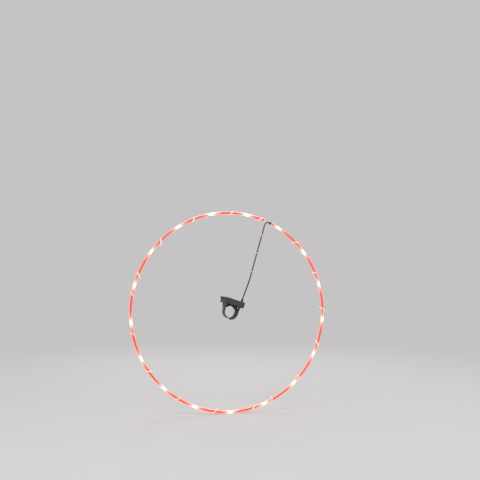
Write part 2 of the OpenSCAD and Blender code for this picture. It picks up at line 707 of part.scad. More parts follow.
module power_button() color("crimson") in_pack() translate([mid_x, button_y, 0]) difference() {
    union() {
        translate([0, 0, plunger_top + stem_gap])
            cylinder(h = button_top - plunger_top - stem_gap, r = button_r - 0.8);
        translate([0, 0, rim_z - flange_t - stem_gap]) cylinder(h = flange_t, r = flange_r);
        translate([0, 0, rim_z - 1]) cylinder(h = button_top - rim_z + 0.6, r = button_r);
    }
    // Dish for a fingertip
    translate([0, 0, button_top + dish_r - dish_depth]) sphere(dish_r);
}

// Hub strap

module hub_pad() color([0.2, 0.2, 0.2]) in_pack() difference() {
    box([-pad_half, -strap_w / 2, 0], [pad_half, strap_w / 2, case_z]);
    rotate([90, 0, 0]) cylinder(h = strap_w + 2 * over, r = hub_r, center = true);
}

// Part of a sleeve round the hub, turning from x towards z
module hub_arc(r, t, turn) rotate([90, 0, 0]) translate([0, 0, -strap_w / 2])
    rotate_extrude(angle = turn, $fn = 96) translate([r, 0]) square([t, strap_w]);

// An outline in the xz plane, as wide as the strap
module strap_slab() rotate([90, 0, 0]) linear_extrude(strap_w, center = true) children();

// One side of the strap: up beside the hub, over the bar and down again
module strap_side(return_foot) strap_slab() {
    translate([hub_r, 0]) square([strap_t, fold_z]);
    difference() {
        polygon(round_rect([hub_r, fold_z - strap_t], [back_x + strap_t, fold_z + strap_t], 0.9 * strap_t));
        translate([hub_r + strap_t, 0]) square([patch_t, fold_z]);
    }
    translate([back_x, return_foot]) square([strap_t, fold_z - return_foot]);
}

module hub_strap() color([0.16, 0.16, 0.18]) in_pack() {
    mirror([0, 0, 1]) hub_arc(hub_r, strap_t, 180);
    strap_side(0);
    mirror([0, 0, 1]) hub_arc(back_x, strap_t, patch_turn);
    // The sewn end comes back to lie against its own leg
    mirror([1, 0, 0]) {
        strap_side(bar_z);
        strap_slab() polygon([[back_x, bar_z], [back_x + strap_t, bar_z], [hub_r + 2 * strap_t, bar_z - 4],
                              [hub_r + 2 * strap_t, 0], [hub_r + strap_t, 0], [hub_r + strap_t, bar_z - 4]]);
    }
}

module strap_patch() color([0.3, 0.3, 0.32]) in_pack() {
    strap_slab() translate([hub_r + strap_t, 0]) square([patch_t, bar_z - face_gap]);
    mirror([0, 0, 1]) hub_arc(hub_r + strap_t, patch_t, patch_turn - 4);
}

light_tube();
led_lamps();
led_chips();
string_wires();
tube_plug();
tube_gland();
spoke_ties();
lead_cable();
lead_ties();
lead_grommet();
lead_wires();
case_body();
deck_cover();
cover_screws();
battery_door();
door_seal();
hinge_pin();
door_screw();
screw_washer();
screw_insert();
battery_cells();
contact_springs();
contact_plates();
battery_wires();
circuit_board();
controller_chip();
chip_parts();
board_screws();
tact_switch();
switch_plunger();
power_button();
hub_pad();
hub_strap();
strap_patch();
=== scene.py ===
"""A ring of lamps in a clear tube, lashed with trimmed ties and fed by a battery pack on a webbing strap."""

from math import acos, asin, atan, atan2, cos, dist, hypot, pi, radians, sin, tan

import bmesh
import bpy
import numpy as np
from mathutils import Matrix, Vector


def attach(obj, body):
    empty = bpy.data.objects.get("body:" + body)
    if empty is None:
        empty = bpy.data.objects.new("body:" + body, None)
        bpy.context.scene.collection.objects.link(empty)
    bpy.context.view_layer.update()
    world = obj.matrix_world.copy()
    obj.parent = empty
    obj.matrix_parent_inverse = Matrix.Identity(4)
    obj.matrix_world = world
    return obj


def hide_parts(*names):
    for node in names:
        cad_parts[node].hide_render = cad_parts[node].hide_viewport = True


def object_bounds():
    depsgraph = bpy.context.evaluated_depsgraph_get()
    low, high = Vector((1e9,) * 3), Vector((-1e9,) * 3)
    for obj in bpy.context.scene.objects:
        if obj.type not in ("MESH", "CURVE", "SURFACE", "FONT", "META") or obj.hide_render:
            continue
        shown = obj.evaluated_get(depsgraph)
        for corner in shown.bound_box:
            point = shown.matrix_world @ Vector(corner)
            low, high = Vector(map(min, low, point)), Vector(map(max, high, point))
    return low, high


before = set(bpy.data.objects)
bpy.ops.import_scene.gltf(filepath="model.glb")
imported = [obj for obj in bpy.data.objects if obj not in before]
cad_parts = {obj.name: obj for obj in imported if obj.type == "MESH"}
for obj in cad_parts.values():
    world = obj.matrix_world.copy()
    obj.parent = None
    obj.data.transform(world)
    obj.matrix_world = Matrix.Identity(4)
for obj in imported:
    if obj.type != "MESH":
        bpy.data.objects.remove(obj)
cad_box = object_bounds()
scene = bpy.context.scene

QUARTER, FULL = pi / 2, 2 * pi
MM = 0.001


# Sizes in millimetres, as in the part's source

RING_R = 265.0
TUBE_R = 3.5
TUBE_WALL = 1.0
LAMP_COUNT = 17
FIRST_LAMP = 51.5
BEAD_R = 2.2
BEAD_L = 8.0
WIRE_R = 0.4
WIRE_Y = 1.1
SPIGOT_L = 6.0
SPIGOT_R = 2.35
CAP_T = 2.0
GLAND_L = 5.0

SPOKE_R = 1.0
TIE_W = 2.4
TIE_T = 1.0
TIE_SLANT = radians(45)
TIE_SLACK = 0.15
HEAD_L = 4.4
HEAD_H = 3.4
TAIL_MIN = 5.0
TAIL_SPREAD = 7.0

LEAD_R = 1.75
LEAD_Y = -11.0
LEAD_TIES = 3
CORE_L = 5.0
FLANGE_R = 4.25
FLANGE_T = 1.4
NECK_R = 3.23
BOOT_R = 3.25
BOOT_L = 8.0

PACK_TURN = radians(18)
MID_X = 20.8
FLOOR_Z = 20.3
BOARD_TOP = 24.0
LID_Z = 31.82
TOP_Z = 33.82
CASE_Z = 18.5
CASE_W = 55.0
CASE_L = 54.6
CELL_R = 5.25
CELL_L = 44.5
CELL_X = (-20.2, -9.2, 1.8)
CELL_Z = 25.67
ROOM_L = 51.0
PLATE_T = 0.4
SPRING_WIRE = 0.35
SCREW_X = 11.9
SCREW_FOOT_Z = 27.72
SCREW_HEAD_Z = 34.37
SCREW_HEAD_R = 3.4
SEAL_LOW = (-26.78, -26.58)
SEAL_HIGH = (8.13, 26.58)
SEAL_CORNER = 2.98
SEAL_W = 0.76
SEAL_H = 0.8
SEAL_Z = 32.17

HUB_R = 16.0
STRAP_T = 1.5
STRAP_W = 25.0
PATCH_T = 1.8
PATCH_TURN = radians(70)
BACK_X = HUB_R + STRAP_T + PATCH_T
BAR_Z = 10.2
FOLD_Z = 13.3
PAD_HALF = 13.0
PAD_LIP_Z = 9.35

# Sizes of the trim, and the room between parts that touch

GAP = 0.02
BEAD_RUN = 9.6
CELL_RUN = 60.0
GLOW_REACH = 10.0
LOOP_EDGE = 0.22
HEAD_EDGE = 0.4
WINDOW_RIM = 0.7
WINDOW_DEPTH = 0.9
TAIL_IN_HEAD = 0.6
TAIL_EDGE = 0.1
TAIL_STEP = 1.0
TAIL_RAIL = 0.4
TOOTH_FOOT = -0.05
TOOTH_TIP = 0.36
TOOTH_DROP = 0.12
RIDGES = 40
FOLD_R = 0.95
PATCH_BASE = 0.54
PILE_R = 0.07
PILE_PITCH = 0.75
PILE_ROWS = 3
YARN_PITCH = 1.0
YARN_L = 2.6
YARN_LIFT = 0.24
TWILL_SHIFT = 0.28
STITCH_PITCH = 2.7
PAD_EDGE = 0.35
PAD_CHAMFER = 0.6
PAD_GROOVE = 1.028

# Where the string's ends lie on the ring, from the lead's bend into it
RUN_IN = 17.0
CORNER_R = hypot(RING_R, RUN_IN)
CORNER_OFF = asin(MID_X / CORNER_R)
LEAD_IN = CORNER_OFF + atan(RUN_IN / RING_R)
PACK_ANGLE = QUARTER - PACK_TURN
TUBE_FROM = PACK_ANGLE - CORNER_OFF + (LEAD_R + CAP_T + 1.2) / RING_R
TUBE_TO = PACK_ANGLE - LEAD_IN + FULL
LAMP_PITCH = FULL / LAMP_COUNT
LAMP_FROM = TUBE_FROM + FIRST_LAMP / RING_R

# The lead: out of the deck, over and up beside its ties, and round a bend into the end of the tube
LEAD_START = Vector((MID_X, LEAD_Y, BOARD_TOP + CORE_L))
LEAD_OUT = Vector((MID_X, LEAD_Y, TOP_Z + FLANGE_T + BOOT_L + 5))
LEAD_JOIN = Vector((MID_X, -21, 92))
LEAD_CORNER = Vector((MID_X, 0, CORNER_R * cos(CORNER_OFF)))
LEAD_TIP = (RING_R * Vector((sin(LEAD_IN), 0, cos(LEAD_IN)))
            + (SPIGOT_L - 1) * Vector((cos(LEAD_IN), 0, -sin(LEAD_IN))))
LEAD_BENDS = (30, 40, 10)

# Each tie's place, in degrees round from the plugged end, and the face of the tube that it is pulled to
FRONT, REAR = -1, 1
TIES = {
    2.5: REAR, 20.5: REAR, 43.5: REAR, 66.5: REAR, 89.5: REAR, 101.5: FRONT, 123.5: FRONT, 146.5: FRONT, 169.5: FRONT,
    192.5: FRONT, 215.5: REAR, 227.5: FRONT, 248.5: FRONT, 271.5: REAR, 292.5: FRONT, 314.5: FRONT, 336.5: FRONT}


def shift(x, y, z):
    return Matrix.Translation((x, y, z))


def spin(angle, axis):
    return Matrix.Rotation(angle, 4, axis)


def on_ring(angle):
    """A place on the ring, with x outward and z along the tube."""
    return spin(-angle, "Y") @ shift(RING_R, 0, 0)


IN_PACK = spin(PACK_TURN, "Y")
UPRIGHT = IN_PACK @ spin(QUARTER, "X")


# Node trees


class Nodes:
    """A node tree. Each input takes a link or a value."""

    def __init__(self, tree):
        self.tree = tree

    def put(self, socket, value):
        if isinstance(value, bpy.types.NodeSocket):
            self.tree.links.new(value, socket)
        else:
            socket.default_value = (*value, 1) if socket.type == "RGBA" else value

    def add(self, kind, inputs=(), out=0, **settings):
        """One output of a new node with these settings, and its inputs by name or in order."""
        node = self.tree.nodes.new(self.prefix + kind)
        for key, value in settings.items():
            setattr(node, key, value)
        for key, value in inputs.items() if isinstance(inputs, dict) else enumerate(inputs):
            self.put(node.inputs[key], value)
        return node.outputs[out]


class Shading(Nodes):
    """Shader nodes. Patterns follow Object coordinates in metres, or a piece's own UV map in millimetres."""

    prefix = "ShaderNode"

    def axes(self, source="Object"):
        return self.add("SeparateXYZ", [self.add("TexCoord", out=source)]).node.outputs

    def place(self, scale=(1, 1, 1), turn=0, source="Object"):
        spot = self.add("TexCoord", out=source)
        return self.add("Mapping", {"Vector": spot, "Rotation": (0, turn, 0), "Scale": scale})

    def grain(self, scale, detail, warp=0, turn=0, source="Object"):
        """Noise of one scale, or of one for each axis."""
        spot = self.place(scale if isinstance(scale, tuple) else (scale,) * 3, turn, source)
        return self.add("TexNoise", {"Vector": spot, "Scale": 1, "Detail": detail, "Distortion": warp})

    def dots(self, scale):
        return self.add("TexVoronoi", {"Scale": scale, "Vector": self.place()}, "Distance")

    def level(self, value, low, high, start=0, end=1):
        return self.add("MapRange", (value, start, end, low, high))

    def sums(self, kind, a, b=0, c=0):
        return self.add("Math", (a, b, c), operation=kind)

    def length(self, a, b):
        return self.add("VectorMath", [self.add("CombineXYZ", (a, b))], "Value", operation="LENGTH")

    def mixed(self, share, a, b, kind="MIX"):
        return self.add("Mix", {0: share, 6: a, 7: b}, 2, data_type="RGBA", blend_type=kind)

    def ramp(self, value, stops, steps="LINEAR"):
        """Colours by their stops along a value."""
        colours = self.add("ValToRGB", [value])
        scale = colours.node.color_ramp
        scale.interpolation = steps
        while len(scale.elements) < len(stops):
            scale.elements.new(0.5)
        for mark, (spot, colour) in zip(scale.elements, stops.items()):
            mark.position, mark.color = spot, (*colour, 1)
        return colours

    def bump(self, height, depth, strength=1, under=None):
        """Relief of a depth in millimetres, over other relief if there is any."""
        inputs = {"Height": height, "Distance": depth * MM, "Strength": strength}
        if under:
            inputs["Normal"] = under
        return self.add("Bump", inputs)

    def edges(self, radius):
        """Edges rounded to a radius in millimetres, and a mask of them: 0 on flats, 1 on edges."""
        soft = self.add("Bevel", {"Radius": radius * MM}, samples=6)
        flat = self.add("NewGeometry", out="Normal")
        dot = self.add("VectorMath", (soft, flat), "Value", operation="DOT_PRODUCT")
        return soft, self.level(dot, 1, 0, 0.72, 0.99)


class Finish(Shading):
    """A material: the constants of its shader, and the patterns that it is dressed with."""

    def __init__(self, name, **constants):
        self.material = bpy.data.materials.new(name)
        self.material.use_nodes = True
        super().__init__(self.material.node_tree)
        self.shader = self.tree.nodes["Principled BSDF"]
        self.dress(**constants)

    def dress(self, **inputs):
        for key, value in inputs.items():
            self.put(self.shader.inputs[key.replace("_", " ")], value)
        return self.material

    def skin(self, colour, gloss, relief, **more):
        """Dresses it with a colour, roughness from a pattern and its range, and relief as for bump."""
        return self.dress(Base_Color=colour, Roughness=self.level(*gloss), Normal=self.bump(*relief), **more)


def lit_vinyl():
    """Clear vinyl with the lamps' light painted into its colour and glow: white beside the lamps and red between them,
    a painted shade on its faces, and a painted pale glow on its flanks.
    """
    look = Finish("lit_vinyl", IOR=1.42, Transmission_Weight=0.82, Coat_Weight=0.2, Coat_Roughness=0.3,
                  Emission_Strength=0.8)
    x, y, z = look.axes()
    angle = look.sums("ARCTAN2", z, x)
    from_lamp = look.sums("PINGPONG", look.sums("SUBTRACT", angle, LAMP_FROM), LAMP_PITCH / 2)
    streak = look.grain(420, 2)
    wander = look.level(look.grain(55, 2), -0.04, 0.04)
    share = look.sums("MULTIPLY_ADD", from_lamp, 2 / LAMP_PITCH, wander)
    glow = look.ramp(share, {
        0: (0.95, 0.84, 0.74), 0.09: (0.88, 0.6, 0.47), 0.2: (0.74, 0.28, 0.19), 0.3: (0.67, 0.2, 0.125),
        0.42: (0.6, 0.135, 0.077), 0.6: (0.53, 0.075, 0.04), 1: (0.49, 0.06, 0.028)})
    # Painted light in the base colour: the clear vinyl is coloured near white beside the lamps and red between them,
    # as the lamps light it.
    body = look.ramp(share, {
        0: (1, 0.88, 0.83), 0.12: (1, 0.8, 0.74), 0.3: (1, 0.45, 0.37), 0.6: (0.98, 0.29, 0.22),
        1: (0.97, 0.26, 0.19)})
    face = look.sums("ABSOLUTE", look.sums("DIVIDE", y, TUBE_R * MM))
    # Painted shade: darker on the front and rear faces, where the wires shade the tube, and a little darker on its
    # outer and inner sides. It fades out beside the lamps, and darkens both the glow and the base colour.
    painted_shade = look.ramp(face, {
        0: (0.85, 0.75, 0.73), 0.2: (0.95, 0.92, 0.92), 0.5: (1, 1, 1), 0.72: (0.95, 0.85, 0.83),
        0.88: (0.8, 0.42, 0.38), 1: (0.7, 0.26, 0.22)})
    painted_shade = look.mixed(look.level(share, 0, 1, 0.18, 0.6), (1, 1, 1), painted_shade)
    # Painted pale glow on the flanks between those faces, standing in for light that runs further through the tube's
    # wall there.
    painted_flank_glow = look.ramp(face, {0: (0.12,) * 3, 0.4: (0.42,) * 3, 0.78: (0, 0, 0)})
    glow = look.mixed(painted_flank_glow, look.mixed(1, glow, painted_shade, "MULTIPLY"), (0.95, 0.46, 0.36))
    glow = look.mixed(1, glow, look.level(streak, 0.9, 1.08), "MULTIPLY")
    return look.skin(look.mixed(0.7, body, painted_shade, "MULTIPLY"), (streak, 0.14, 0.24), (streak, 0.03, 0.3),
                     Emission_Color=glow)


def grained(name, grain, dark, light, gloss, relief, **constants):
    """A finish of two tones, with its gloss and relief from the same grain."""
    look = Finish(name, **constants)
    grain = look.grain(*grain)
    return look.skin(look.mixed(grain, dark, light), (grain, *gloss), (grain, *relief))


def lit_resin():
    """Cast resin over a burning lamp: white at its girth, pink towards its tips."""
    look = Finish("lit_resin", IOR=1.5, Coat_Weight=0.4, Coat_Roughness=0.05, Emission_Strength=3.0)
    tip, side, girth = (1, 0.34, 0.26), (1, 0.78, 0.68), (1, 0.97, 0.92)
    share = look.sums("DIVIDE", look.axes("UV")[1], BEAD_RUN)
    glow = look.ramp(share, {0: tip, 0.25: side, 0.5: girth, 0.75: side, 1: tip})
    cloud = look.grain(700, 2)
    colour = look.mixed(cloud, (1, 0.9, 0.84), (1, 0.97, 0.93))
    return look.skin(colour, (cloud, 0.06, 0.18), (cloud, 0.05, 0.4), Emission_Color=glow)


def lit_chip():
    """A light chip: hot grains of phosphor, paler between them."""
    look = Finish("lit_chip", Emission_Strength=5.0)
    cells = look.dots(2600)
    colour = look.ramp(cells, {0: (1, 0.86, 0.4), 0.8: (1, 0.95, 0.75)})
    glow = look.ramp(cells, {0: (1, 0.9, 0.8), 0.8: (1, 0.6, 0.48)})
    return look.skin(colour, (cells, 0.25, 0.5), (cells, 0.05), Emission_Color=glow)


def drawn_metal(name, colour, dull, rough=(0.2, 0.36), marks=(300, 300, 2600)):
    """Metal with fine tool marks, its edges eased and its film dulled in places."""
    look = Finish(name, Metallic=1, Anisotropic=0.2)
    lines = look.grain(marks, 2, turn=-PACK_TURN)
    film = look.grain(160, 4, 0.6)
    soft, turn = look.edges(0.2)
    base = look.mixed(look.level(film, 0, 1, 0.42, 0.75), colour, dull)
    bright = [min(1, 1.2 * c) for c in colour]
    base = look.mixed(look.sums("MULTIPLY", turn, 0.4), base, bright)
    return look.skin(base, (lines, *rough), (lines, 0.008, 0.5, soft))


def moulded(name, colour, worn, texture=2400):
    """Moulded plastic with a fine spark texture, handled smooth and pale along its edges."""
    look = Finish(name, IOR=1.5, Specular_IOR_Level=0.45)
    spark = look.grain(texture, 2)
    cloud = look.grain(70, 4, 0.4)
    rub = look.grain(260, 4)
    soft, turn = look.edges(0.4)
    edge = look.sums("MULTIPLY", turn, look.level(rub, 0.1, 1, 0.35, 0.65))
    lighter = [min(1, c * 1.5 + 0.006) for c in colour]
    body = look.mixed(look.level(cloud, 0, 0.8, 0.3, 0.75), colour, lighter)
    rough = look.level(cloud, 0.6, 0.42, 0.3, 0.7)
    return look.dress(Base_Color=look.mixed(look.sums("MULTIPLY", edge, 0.75), body, worn),
                      Roughness=look.sums("SUBTRACT", rough, look.sums("MULTIPLY", edge, 0.12)),
                      Normal=look.bump(spark, 0.06, 0.7, soft))


def soft_rubber(name, colour, dust, texture=1500, dust_share=0.35):
    """Matte rubber with a fine skin and patches of dust."""
    look = Finish(name, Specular_IOR_Level=0.3, Sheen_Weight=0.12, Sheen_Roughness=0.6)
    pores = look.grain(texture, 3)
    cloud = look.grain(120, 5, 0.8)
    base = look.mixed(look.level(cloud, 0, dust_share, 0.4, 0.8), colour, dust)
    return look.skin(base, (cloud, 0.62, 0.85), (pores, 0.07, 0.6))


def clear_nylon():
    """Natural nylon, whitened where it was bent or cut, with a painted red glow near the tube that stands in for the
    string's light falling on it.
    """
    look = Finish("clear_nylon", IOR=1.53, Transmission_Weight=0.45, Subsurface_Weight=0.4, Subsurface_Scale=MM,
                  Subsurface_Radius=(1, 0.95, 0.88), Coat_Weight=0.15, Coat_Roughness=0.3, Emission_Strength=0.4)
    flow = look.grain(420, 3, 0.7)
    soft, stress = look.edges(0.3)
    base = look.mixed(look.level(flow, 0, 0.7, 0.3, 0.7), (0.87, 0.83, 0.78), (0.96, 0.94, 0.9))
    x, y, z = look.axes()
    # Painted red glow: strongest on the nylon next to the tube and gone GLOW_REACH away, standing in for the string's
    # light falling on the tie.
    off = look.length(look.sums("SUBTRACT", look.length(x, z), RING_R * MM), y)
    painted_glow_share = look.sums("ADD", look.level(off, 0, 1, TUBE_R * MM, (TUBE_R + GLOW_REACH) * MM),
                        look.level(flow, -0.05, 0.05))
    glow = look.ramp(painted_glow_share, {0: (1, 0.5, 0.38), 0.18: (0.86, 0.36, 0.26), 0.45: (0.55, 0.16, 0.11),
                               0.8: (0.22, 0.05, 0.035), 1: (0, 0, 0)})
    base = look.mixed(look.sums("MULTIPLY", stress, 0.6), base, (0.98, 0.97, 0.95))
    return look.skin(base, (flow, 0.22, 0.42), (flow, 0.1, 0.35, soft), Emission_Color=glow)


def vinyl_jacket(name, colour, lighter):
    """A drawn vinyl jacket: fine lines along it, a satin skin and a few dull patches."""
    look = Finish(name, IOR=1.52, Coat_Weight=0.2, Coat_Roughness=0.3)
    lines = look.grain((2200, 2200, 90), 2)
    dull = look.grain(90, 4)
    base = look.mixed(look.level(dull, 0, 0.8, 0.35, 0.7), colour, lighter)
    return look.skin(base, (dull, 0.3, 0.5), (lines, 0.05, 0.5))


def woven_webbing():
    """Nylon yarn of fine filaments, each of its own tone, paler where the strap has rubbed."""
    look = Finish("woven_webbing", Sheen_Weight=0.35, Sheen_Roughness=0.45, Specular_IOR_Level=0.3)
    u, v, _ = look.axes("UV")
    row = look.sums("FLOOR", look.sums("DIVIDE", look.sums("ADD", v, STRAP_W / 2), YARN_PITCH))
    off = look.sums("DIVIDE", look.sums("ABSOLUTE", v), YARN_PITCH)
    step = look.sums("FLOOR", look.sums("MULTIPLY_ADD", off, -TWILL_SHIFT, look.sums("DIVIDE", u, YARN_L)))
    yarn = look.add("CombineXYZ", (row, step))
    tone = look.add("TexWhiteNoise", {"Vector": yarn}, noise_dimensions="2D")
    fibre = look.grain((0.7, 11, 1), 2, source="UV")
    worn = look.grain(60, 4)
    shade = look.sums("MULTIPLY_ADD", tone, 0.35, look.sums("MULTIPLY", fibre, 0.65))
    thread = look.mixed(shade, (0.016, 0.016, 0.018), (0.072, 0.072, 0.08))
    base = look.mixed(look.level(worn, 0, 0.5, 0.45, 0.8), thread, (0.11, 0.105, 0.1))
    return look.skin(base, (fibre, 0.5, 0.85), (fibre, 0.06, 0.7))


def brushed_pile():
    """Hook-and-loop fabric: a brushed mat of fine loops."""
    look = Finish("brushed_pile", Sheen_Weight=0.5, Sheen_Roughness=0.4)
    loops = look.dots(1700)
    tuft = look.grain(420, 4, 1)
    base = look.mixed(tuft, (0.02, 0.02, 0.023), (0.085, 0.085, 0.092))
    base = look.mixed(look.level(loops, 0.5, 0), base, (0.01, 0.01, 0.012))
    return look.skin(base, (tuft, 0.8, 0.95), (loops, 0.3, 0.9))


def sewing_thread():
    look = Finish("sewing_thread", Sheen_Weight=0.3)
    ply = look.add("TexWave", {"Scale": 900.0, "Distortion": 1.5, "Vector": look.place()}, 1)
    return look.skin(look.mixed(ply, (0.16, 0.16, 0.17), (0.36, 0.36, 0.37)), (ply, 0.55, 0.75), (ply, 0.1))


def cell_sleeve():
    """A cell's plain foil sleeve with a pale shoulder, and bare metal at its ends. v runs up from the flat end."""
    look = Finish("cell_sleeve", Coat_Weight=0.35, Coat_Roughness=0.18)
    share = look.sums("DIVIDE", look.axes("UV")[1], CELL_RUN)
    scuff = look.grain((6, 0.5, 1), 5, 0.4, source="UV")
    can, foil, shoulder, button = (0.66, 0.66, 0.67), (0.045, 0.085, 0.075), (0.52, 0.54, 0.53), (0.7, 0.7, 0.71)
    bands = look.ramp(share, {0: can, 0.098: can, 0.1: foil, 0.68: foil, 0.682: shoulder, 0.8: shoulder,
                              0.802: button, 1: button})
    colour = look.mixed(look.level(scuff, 0, 0.18, 0.5, 0.8), bands, (0.5, 0.5, 0.52))
    bare = look.ramp(share, {0: (1, 1, 1), 0.099: (0.25,) * 3, 0.801: (1, 1, 1)}, "CONSTANT")
    return look.skin(colour, (scuff, 0.22, 0.45), (scuff, 0.04, 0.5), Metallic=bare)


def solder_mask():
    """Green board laminate: copper tracks under the mask, and the weave of the glass."""
    look = Finish("solder_mask", Coat_Weight=0.3, Coat_Roughness=0.2)
    tracks = look.add("TexBrick", {
        "Vector": look.place(turn=-PACK_TURN), "Scale": 420.0, "Color1": (0, 0, 0), "Color2": (1, 1, 1),
        "Mortar": (0.5,) * 3, "Mortar Size": 0.06})
    glass = look.grain(2600, 2)
    base = look.mixed(tracks, (0.012, 0.13, 0.05), (0.03, 0.22, 0.085))
    base = look.mixed(look.level(glass, 0, 0.25), base, (0.05, 0.3, 0.14))
    return look.skin(base, (glass, 0.25, 0.42), (tracks, 0.04, 0.6))


def tinned(material, pitch, beyond):
    """Tins the ends of small parts: whatever lies further than a distance from the middle line of each."""
    look = Shading(material.node_tree)
    inputs = look.tree.nodes["Principled BSDF"].inputs
    across = look.add("SeparateXYZ", [look.place(turn=-PACK_TURN)])
    off = look.sums("PINGPONG", look.sums("SUBTRACT", across, MID_X * MM), pitch / 2 * MM)
    end = look.sums("GREATER_THAN", off, beyond * MM)
    base = inputs["Base Color"].links[0].from_socket
    look.put(inputs["Base Color"], look.mixed(end, base, (0.68, 0.68, 0.66)))
    look.put(inputs["Metallic"], end)
    return material


# Meshes in millimetres


def smooth(bm, sharp=35):
    """A mesh that is smooth but for its edges."""
    mesh = bpy.data.meshes.new("shape")
    bm.to_mesh(mesh)
    bm.free()
    mesh.polygons.foreach_set("use_smooth", [True] * len(mesh.polygons))
    mesh.set_sharp_from_angle(angle=radians(sharp))
    return mesh


def solid(bm, sharp=35):
    """A closed mesh with its faces outward, smooth but for its edges."""
    bmesh.ops.recalc_face_normals(bm, faces=bm.faces)
    return smooth(bm, sharp)


def joined(*meshes, sharp=35):
    bm = bmesh.new()
    for mesh in meshes:
        bm.from_mesh(mesh)
    return smooth(bm, sharp)


def skinned(rows, sharp=35, closed=False, caps=True, uv_at=None):
    """A solid skin over rows of points, closed in a ring or capped. uv_at maps it by row, point and cap."""
    bm = bmesh.new()
    uv = bm.loops.layers.uv.new("UVMap") if uv_at else None
    rings = []
    for row in rows:
        pole = row[0] == row[1]
        rings.append([bm.verts.new(row[0])] * len(row) if pole else [bm.verts.new(p) for p in row])
    last, count = len(rows) - 1, len(rows[0])
    faces = [(0, [(i, k), (i, k + 1), (i + 1, k + 1), (i + 1, k)])
             for i in range(last + closed) for k in range(count)]
    if caps and not closed:
        faces += [(1, [(i, k) for k in range(count)]) for i in (0, last)]
    for cap, corners in faces:
        verts = [rings[i % len(rows)][k % count] for i, k in corners]
        kept = [j for j, vert in enumerate(verts) if vert is not verts[j - 1]]
        face = bm.faces.new([verts[j] for j in kept])
        for loop, j in zip(face.loops, kept) if uv_at else ():
            loop[uv].uv = uv_at(*corners[j], cap)
    return solid(bm, sharp)


def arc(centre, radius, start, end, steps=8):
    turns = np.linspace(start, end, steps + 1)
    return [(centre[0] + radius * cos(a), centre[1] + radius * sin(a)) for a in turns]


def round_box(low, high, radius, steps=8):
    """The outline of a box with round corners."""
    (x0, y0), (x1, y1) = (c + radius for c in low), (c - radius for c in high)
    corners = ((x1, y1), (x0, y1), (x0, y0), (x1, y0))
    return [q for k, c in enumerate(corners) for q in arc(c, radius, k * QUARTER, (k + 1) * QUARTER, steps)]


def turned(outline, sides, closed=False):
    """A shape turned round z from (radius, height) points. u runs once round it, and v along its outline."""
    turns = [FULL * k / sides for k in range(sides)]
    run = np.cumsum([0] + [dist(p, q) for p, q in zip(outline, outline[1:] + outline[:1])])
    rows = [[(r * cos(a), r * sin(a), z) for a in turns] for r, z in outline]
    return skinned(rows, closed=closed, caps=False, uv_at=lambda i, k, cap: (k / sides, run[i]))


def along(path, closed=False):
    """The points of a path in the xy plane, the way square to it at each, and the run up to each."""
    path = np.array(path)
    if closed:
        way = np.roll(path, -1, 0) - np.roll(path, 1, 0)
    else:
        way = np.vstack([path[1:], path[-1:]]) - np.vstack([path[:1], path[:-1]])
    way /= np.linalg.norm(way, axis=1)[:, None]
    side = np.stack([way[:, 1], -way[:, 0]], 1)
    steps = np.linalg.norm(np.diff(np.vstack([path, path[:1]]), axis=0), axis=1)
    return path, side, np.cumsum([0, *steps])[:len(path) + closed]


def band(path, thick, width, edge, closed=False):
    """A flat band along a path in the xy plane, its width along z. u runs along it and v across it."""
    path, side, run = along(path, closed)
    section = round_box((-thick / 2, -width / 2), (thick / 2, width / 2), edge, 2)

    def uv_at(i, k, cap):
        n, w = section[k % len(section)]
        return run[i] + cap * n, w

    return skinned([[(*(p + s * n), w) for n, w in section] for p, s in zip(path, side)], closed=closed, uv_at=uv_at)


def block(low, high, edge, segments=2):
    """A box with rounded edges."""
    bm = bmesh.new()
    bmesh.ops.create_cube(bm, size=1.0)
    for vert in bm.verts:
        vert.co = Vector(a + (c + 0.5) * (b - a) for a, b, c in zip(Vector(low), Vector(high), vert.co))
    bmesh.ops.bevel(bm, geom=bm.edges[:], offset=edge, segments=segments, profile=0.5, affect="EDGES")
    return bm


def rounded(points, radii, steps):
    """A path from point to point, with each corner rounded to its radius."""
    points = [Vector(p) for p in points]
    path = [points[0]]
    for a, b, c, radius in zip(points, points[1:], points[2:], radii):
        u, w = (a - b).normalized(), (c - b).normalized()
        half = u.angle(w) / 2
        turn = pi - 2 * half
        middle = b + (u + w).normalized() * radius / sin(half)
        s, e = b + u * radius / tan(half) - middle, b + w * radius / tan(half) - middle
        path += [middle + (s * sin(turn * (1 - i / steps)) + e * sin(turn * i / steps)) / sin(turn)
                 for i in range(steps + 1)]
    return path + [points[-1]]


def stand(name, data):
    thing = bpy.data.objects.new(name, data)
    scene.collection.objects.link(thing)
    return thing


def worked(mesh, kind, values=None, **settings):
    """What one modifier makes of a mesh. The values go to a geometry tree's inputs by name."""
    carrier = stand("carrier", mesh)
    modifier = carrier.modifiers.new("work", kind)
    for key, value in settings.items():
        setattr(modifier, key, value)
    for item in modifier.node_group.interface.items_tree if values else ():
        if item.in_out == "INPUT" and item.name in values:
            modifier[item.identifier] = values[item.name]
    bpy.context.view_layer.update()
    made = bpy.data.meshes.new_from_object(carrier.evaluated_get(bpy.context.evaluated_depsgraph_get()))
    bpy.data.objects.remove(carrier)
    return made


def eased(node, rims):
    """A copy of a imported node, in the pack's own axes, with its outer edges rounded in each part that rims picks."""
    bm = bmesh.new()
    bm.from_mesh(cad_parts[node].data)
    bm.transform(IN_PACK.inverted() @ Matrix.Scale(1 / MM, 4))
    bmesh.ops.remove_doubles(bm, verts=bm.verts, dist=0.002)
    bmesh.ops.dissolve_limit(bm, angle_limit=radians(1), verts=bm.verts, edges=bm.edges)
    least, most = radians(50), radians(130)
    for picks, radius in rims:
        outer = [e for e in bm.edges if e.is_convex and least < e.calc_face_angle() < most
                 and picks((e.verts[0].co + e.verts[1].co) / 2)]
        bmesh.ops.bevel(bm, geom=outer, offset=radius, segments=3, profile=0.5, affect="EDGES")
    return worked(solid(bm, 40), "WEIGHTED_NORMAL", weight=100, keep_sharp=True)


# Geometry trees


